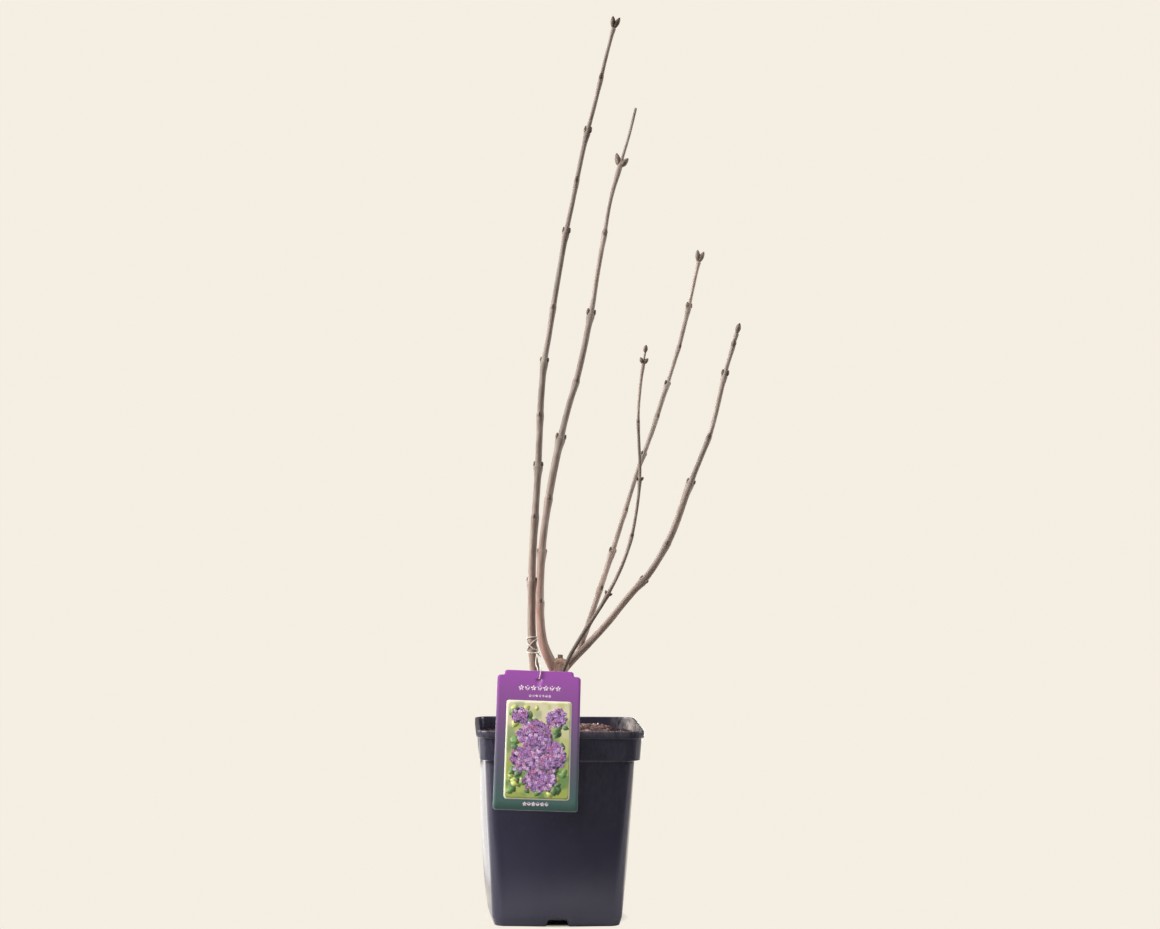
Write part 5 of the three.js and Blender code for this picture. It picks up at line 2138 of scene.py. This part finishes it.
@dataclass(frozen=True)
class LabelString:
    """The white string: wraps round the tall shoot, a knot, and a loop through the label."""

    card: Card = Card()
    radius: float = 0.46
    wraps: tuple[Wrap, ...] = (
        Wrap(256.4, 1.4, 20), Wrap(250.3, 5, 60), Wrap(250.3, -5, 60), Wrap(244.2, -1, 0),
    )
    knot_z: float = 242.0
    knot_turn: float = 50.0
    knot_radius: float = 1.5
    knot_share: float = 0.36
    tails: tuple[Triple, ...] = ((3.4, -0.8, -1.6), (2.2, -1.4, 2.6))
    columns: int = 14
    ply_turns: float = 0.55

    def rope(self, maker: MeshMaker, track: Array, closed: bool) -> None:
        """Add a twisted string along a track of points.

        The radius at turn u and length s is R (0.92 + 0.14 |cos(1.5 (u + k s))|), which gives
        three plies that wind round it.

        Args:
            maker: the mesh to add to.
            track: points, shape (n, 3).
            closed: whether the track is a ring.
        """
        way = np.roll(track, -1, 0) - np.roll(track, 1, 0) if closed else np.gradient(track, axis=0)
        way = unit(way)
        side_on, back, up = np.eye(3)
        side = unit(np.cross(way, np.where(np.abs(way[:, 2:]) > 0.8, back, up) if closed else side_on))
        over = np.cross(side, way)
        turn = full_turn(self.columns)
        length = np.append(0.0, np.cumsum(np.linalg.norm(np.diff(track, axis=0), axis=1)))
        whole = length[-1] + (np.linalg.norm(track[0] - track[-1]) if closed else 0.0)
        turns = max(round(whole * self.ply_turns / 2), 1) * 2 if closed else whole * self.ply_turns
        ply = np.abs(np.cos(1.5 * (turn + length[:, None] / whole * turns * TAU / 3)))
        ring = side[:, None] * np.cos(turn)[:, None] + over[:, None] * np.sin(turn)[:, None]
        points = track[:, None] + ring * (self.radius * (0.92 + 0.14 * ply))[..., None]
        if closed:
            points, ply = np.concatenate([points, points[:1]]), np.concatenate([ply, ply[:1]])
        maker.grid(points, caps=(not closed, not closed), ply=ply)

    def beside(self, shoot: Shoot, z: float, gap: float, turn: Array, rise: Array) -> Array:
        """Points round the shoot.

        Args:
            shoot: the shoot.
            z: the height at which its radius is taken.
            gap: how far they keep from its wood, on top of the clearance.
            turn: their turns round it.
            rise: how far up the shoot from z they lie.

        Returns:
            Points, shape (n, 3).
        """
        middle = shoot.spine.length_at(z)
        out = float(shoot.wood(np.array([middle]))[0]) + CLEARANCE + gap
        centre, _, side, front = shoot.spine.frame(middle + rise)
        return centre + out * (side * np.cos(turn)[:, None] + front * np.sin(turn)[:, None])

    def build(self, shoot: Shoot, cotton: Material) -> Piece:
        """Wind the wraps, tie the knot, and lead the loop through the label's hole and back.

        Args:
            shoot: the shoot that it is tied to.
            cotton: its finish.

        Returns:
            The finished piece.
        """
        maker = MeshMaker("label_tie")
        turn = full_turn(72)
        for wrap in self.wraps:
            rise = wrap.swing * np.sin(turn + math.radians(wrap.phase))
            self.rope(maker, self.beside(shoot, wrap.z, self.radius, turn, rise), True)
        knot_turn = np.radians([self.knot_turn])
        knot = self.beside(shoot, self.knot_z, self.knot_radius, knot_turn, np.zeros(1))[0]
        self.knot(maker, knot)
        self.rope(maker, self.loop(knot), False)
        return place_piece(maker.build([cotton]), "label_string", "label_string")

    def knot(self, maker: MeshMaker, middle: Array) -> None:
        """Add an overhand knot: a string along a trefoil, and two short cut ends.

        Args:
            maker: the mesh to add to.
            middle: the knot's place.
        """
        turn = full_turn(90)
        trefoil = np.stack([np.sin(turn) + 2 * np.sin(2 * turn), -1.2 * np.sin(3 * turn),
                            np.cos(turn) - 2 * np.cos(2 * turn)], -1)
        self.rope(maker, middle + self.knot_radius * self.knot_share * trefoil, True)
        share = np.linspace(0.0, 1.0, 14)[:, None]
        for reach in self.tails:
            self.rope(maker, middle + np.array(reach) * share + np.array([0.0, 0.0, -0.9]) * share**2, False)

    def loop(self, knot: Array) -> Array:
        """The loop's track: from the knot over the card's top, through its hole and back behind.

        Args:
            knot: the knot's place.

        Returns:
            Points, shape (n, 3).
        """
        card = self.card
        top = card.height / 2
        seat = card.thickness / 2 + CLEARANCE + self.radius
        hole_x, hole_top = card.punch[0], card.punch[1] + card.punch_radius - self.radius
        front, *on_card, behind = (card.carry(np.array([x, y]), out) for x, y, out in (
            (1.6, top + 1.4, seat * 0.7), (1.2, top - 1.5, seat), (hole_x + 0.5, hole_top + 1, seat),
            (hole_x, hole_top, 0.0), (hole_x - 0.2, hole_top + 1, -seat), (-1.2, top - 1.5, -seat - 0.1),
            (-1.4, top + 1.2, -seat - 0.4),
        ))
        points = [
            knot, (knot + front) / 2 + np.array([0.0, 0.0, -1.5]), front, *on_card, behind,
            (knot + behind) / 2 + np.array([-1.6, 0.0, -1.5]), knot + np.array([-0.6, 0.0, -0.6]),
        ]
        spine = Spine(points, 40)
        return spine.at(np.linspace(0.0, spine.total, 240))


# ------------------------------------------------------------------ studio


@dataclass(frozen=True)
class SoftLight:
    """A soft area light: its place and target in metres, its two widths, and its watts."""

    name: str
    place: Triple
    size: Pair
    watts: float
    target: Triple = (0.0, 0.0, 0.35)

    def add(self) -> None:
        """Make the light, which the camera doesn't see."""
        data = bpy.data.lights.new(self.name, "AREA")
        data.shape, data.energy = "RECTANGLE", self.watts
        data.size, data.size_y = self.size
        light = bpy.data.objects.new(self.name, data)
        light.location = self.place
        light.rotation_euler = (Vector(self.target) - Vector(self.place)).to_track_quat("-Z", "Y").to_euler()
        light.visible_camera = False
        bpy.context.scene.collection.objects.link(light)


LIGHTS = (
    SoftLight("key_left", (-2.2, -0.5, 1.3), (0.8, 1.2), 80.0),
    SoftLight("front", (-0.9, -2.2, 1.7), (1.4, 1.0), 13.0),
    SoftLight("back_left", (-1.9, 1.1, 0.9), (0.8, 1.4), 17.0),
    SoftLight("low_back", (0.32, 1.9, 0.03), (0.74, 0.3), 6.0, (0.0, 0.0, 0.03)),
    SoftLight("floor_left", (-0.44, 0.71, 0.004), (0.64, 1.2), 2.3, (-0.44, 0.711, 1.0)),
    SoftLight("fill_right", (2.2, 0.3, 0.9), (0.9, 1.2), 28.0),
    SoftLight("top", (-0.2, 0.2, 2.3), (1.4, 1.4), 20.0),
)


def mix_shaders(tree: bpy.types.NodeTree, share: Socket, first: Socket, second: Socket) -> Socket:
    """Mix two shaders.

    Args:
        tree: the node tree.
        share: the second shader's share.
        first: a shader's socket.
        second: another one's.

    Returns:
        The mixed shader's socket.
    """
    mix = tree.nodes.new("ShaderNodeMixShader")
    for socket, value in zip(mix.inputs, (share, first, second)):
        tree.links.new(value, socket)
    return mix.outputs[0]


@dataclass(frozen=True)
class Studio:
    """The pale floor, the soft lights and the camera."""

    backdrop: str = "#f5eee2"
    camera_place: Triple = (-103.1, -2497.9, 404.0)
    forward: Triple = (0.04858, 0.9988, 0.0)
    rise_degrees: float = 0.266
    roll_degrees: float = 0.5
    lens: float = 84.29
    sensor: float = 36.0
    studio_tint: tuple[float, float, float, float] = (1.0, 0.96, 0.93, 1.0)
    studio_strength: float = 0.14
    floor_radius: float = 1400.0
    floor_z: float = -0.05
    floor_fade: Pair = (0.05, 0.067)
    floor_front: Pair = (-0.12, -0.24)
    floor_back: Pair = (0.1, 0.25)

    def add_camera(self) -> None:
        """Make the camera: it looks along forward, raised a little, with a small roll."""
        data = bpy.data.cameras.new("camera")
        data.sensor_width, data.lens = self.sensor, self.lens
        data.clip_start, data.clip_end = 0.05, 100.0
        rise, roll = math.radians(self.rise_degrees), math.radians(self.roll_degrees)
        upright, level = Vector((0.0, 0.0, 1.0)), Vector(self.forward).normalized()
        look = level * math.cos(rise) + upright * math.sin(rise)
        right = level.cross(upright).normalized()
        up = right.cross(look)
        turned_right = right * math.cos(roll) + up * math.sin(roll)
        turned_up = up * math.cos(roll) - right * math.sin(roll)
        camera = bpy.data.objects.new("camera", data)
        camera.matrix_world = Matrix((turned_right, turned_up, -look)).transposed().to_4x4()
        camera.matrix_world.translation = Vector(self.camera_place) * MM
        bpy.context.scene.collection.objects.link(camera)
        bpy.context.scene.camera = camera

    def add_world(self) -> None:
        """Make the surroundings: the pale backdrop where it is seen, a dim studio elsewhere."""
        world = bpy.context.scene.world = bpy.data.worlds.new("studio")
        world.use_nodes = True
        tree = world.node_tree
        seen, dim = tree.nodes["Background"], tree.nodes.new("ShaderNodeBackground")
        for light, tint, strength in ((seen, linear(self.backdrop), 1.0),
                                      (dim, self.studio_tint, self.studio_strength)):
            light.inputs["Color"].default_value = tint
            light.inputs["Strength"].default_value = strength
        is_seen = tree.nodes.new("ShaderNodeLightPath").outputs["Is Camera Ray"]
        mixed = mix_shaders(tree, is_seen, dim.outputs[0], seen.outputs[0])
        tree.links.new(mixed, tree.nodes["World Output"].inputs["Surface"])

    def add_floor(self) -> None:
        """Make the floor: a disc that takes a soft shadow near the pot and fades to the backdrop.

        Light that the pot reflects finds it dark further in front, where the studio's light
        doesn't reach, and as bright as the backdrop behind.
        """
        share = np.linspace(0.02, 1.0, 24)[:, None, None]
        ring = self.floor_radius * share * circle(full_turn(96))
        disc = np.concatenate([ring, np.full_like(ring[..., :1], self.floor_z)], -1)
        floor = NodeTree("floor")
        floor.set(base_color=self.backdrop, roughness=0.9, specular_ior_level=0.0)
        place = floor.place()
        distance = floor.node("VectorMath", operation="LENGTH", vector=place).outputs["Value"]
        depth = floor.node("SeparateXYZ", vector=place).outputs["Y"]
        lit = floor.shader.outputs[0]
        glow = floor.node("Emission", color=self.backdrop, strength=1.0).outputs[0]
        painted_shade = floor.node("Emission", color=self.studio_tint, strength=self.studio_strength).outputs[0]
        seen = mix_shaders(floor.tree, floor.spread(distance, *self.floor_fade), lit, glow)
        unseen = mix_shaders(floor.tree, floor.spread(depth, *self.floor_front), lit, painted_shade)
        unseen = mix_shaders(floor.tree, floor.spread(depth, *self.floor_back), unseen, glow)
        is_seen = floor.node("LightPath").outputs["Is Camera Ray"]
        whole = mix_shaders(floor.tree, is_seen, unseen, seen)
        floor.tree.links.new(whole, floor.tree.nodes["Material Output"].inputs["Surface"])
        MeshMaker("floor").grid(disc, caps=(True, False), flip=False).build([floor.material])

    def build(self) -> None:
        """Set the whole studio up."""
        bpy.context.scene.view_settings.view_transform = "Standard"
        self.add_camera()
        self.add_world()
        self.add_floor()
        for light in LIGHTS:
            light.add()


# ------------------------------------------------------------------ the whole


def main() -> None:
    """Build the studio, the pot and soil, the plant and the label."""
    logging.basicConfig(level=logging.INFO, format="%(name)s %(message)s")
    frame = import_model()
    LOG.info("the frame has %d nodes", len(frame["nodes"]))
    Studio().build()

    plastic = PlasticFinish("black_plastic").make()
    Pot().build(plastic)
    Soil().build(SoilFinish("potting_soil").make(), PlainFinish("perlite", "#f0ece4", "#cfc8bc", 0.9).make())

    old_bark = BarkFinish("old_bark", "#7f6754", "#b0957f", "#e2cfbb", "#cc9a88", 0.08, 420.0)
    young_bark = BarkFinish("young_bark", "#7b6559", "#b2a093", "#dcccbf", "#bd8170", 0.03)
    buds = BudFinish("bud_scales").make()
    Trunk().build(old_bark.make())
    young = young_bark.make()
    for shoot in SHOOTS:
        shoot.build(young, buds)

    card = Card()
    wash = ((0.0, "#3e6459"), (0.08, "#436560"), (0.28, "#5a5d6d"), (0.5, "#6f5b7e"), (0.78, "#9853a1"),
            (1.0, "#b152bc"))
    face = CardFinish("card_face", wash, -card.height / 2, card.height / 2).make()
    back = PlainFinish("card_back", "#efeaf0", "#e4dde6", 0.5, 300.0, 0.01).make()
    core = PlainFinish("card_edge", "#d9cfdc", "#c9bccd", 0.6).make()
    card.build(face, back, core)
    Print(card).build(InkFinish("card_ink").make())
    LabelString(card).build(SHOOTS[0], StringFinish("cotton").make())


if __name__ == "__main__":
    main()
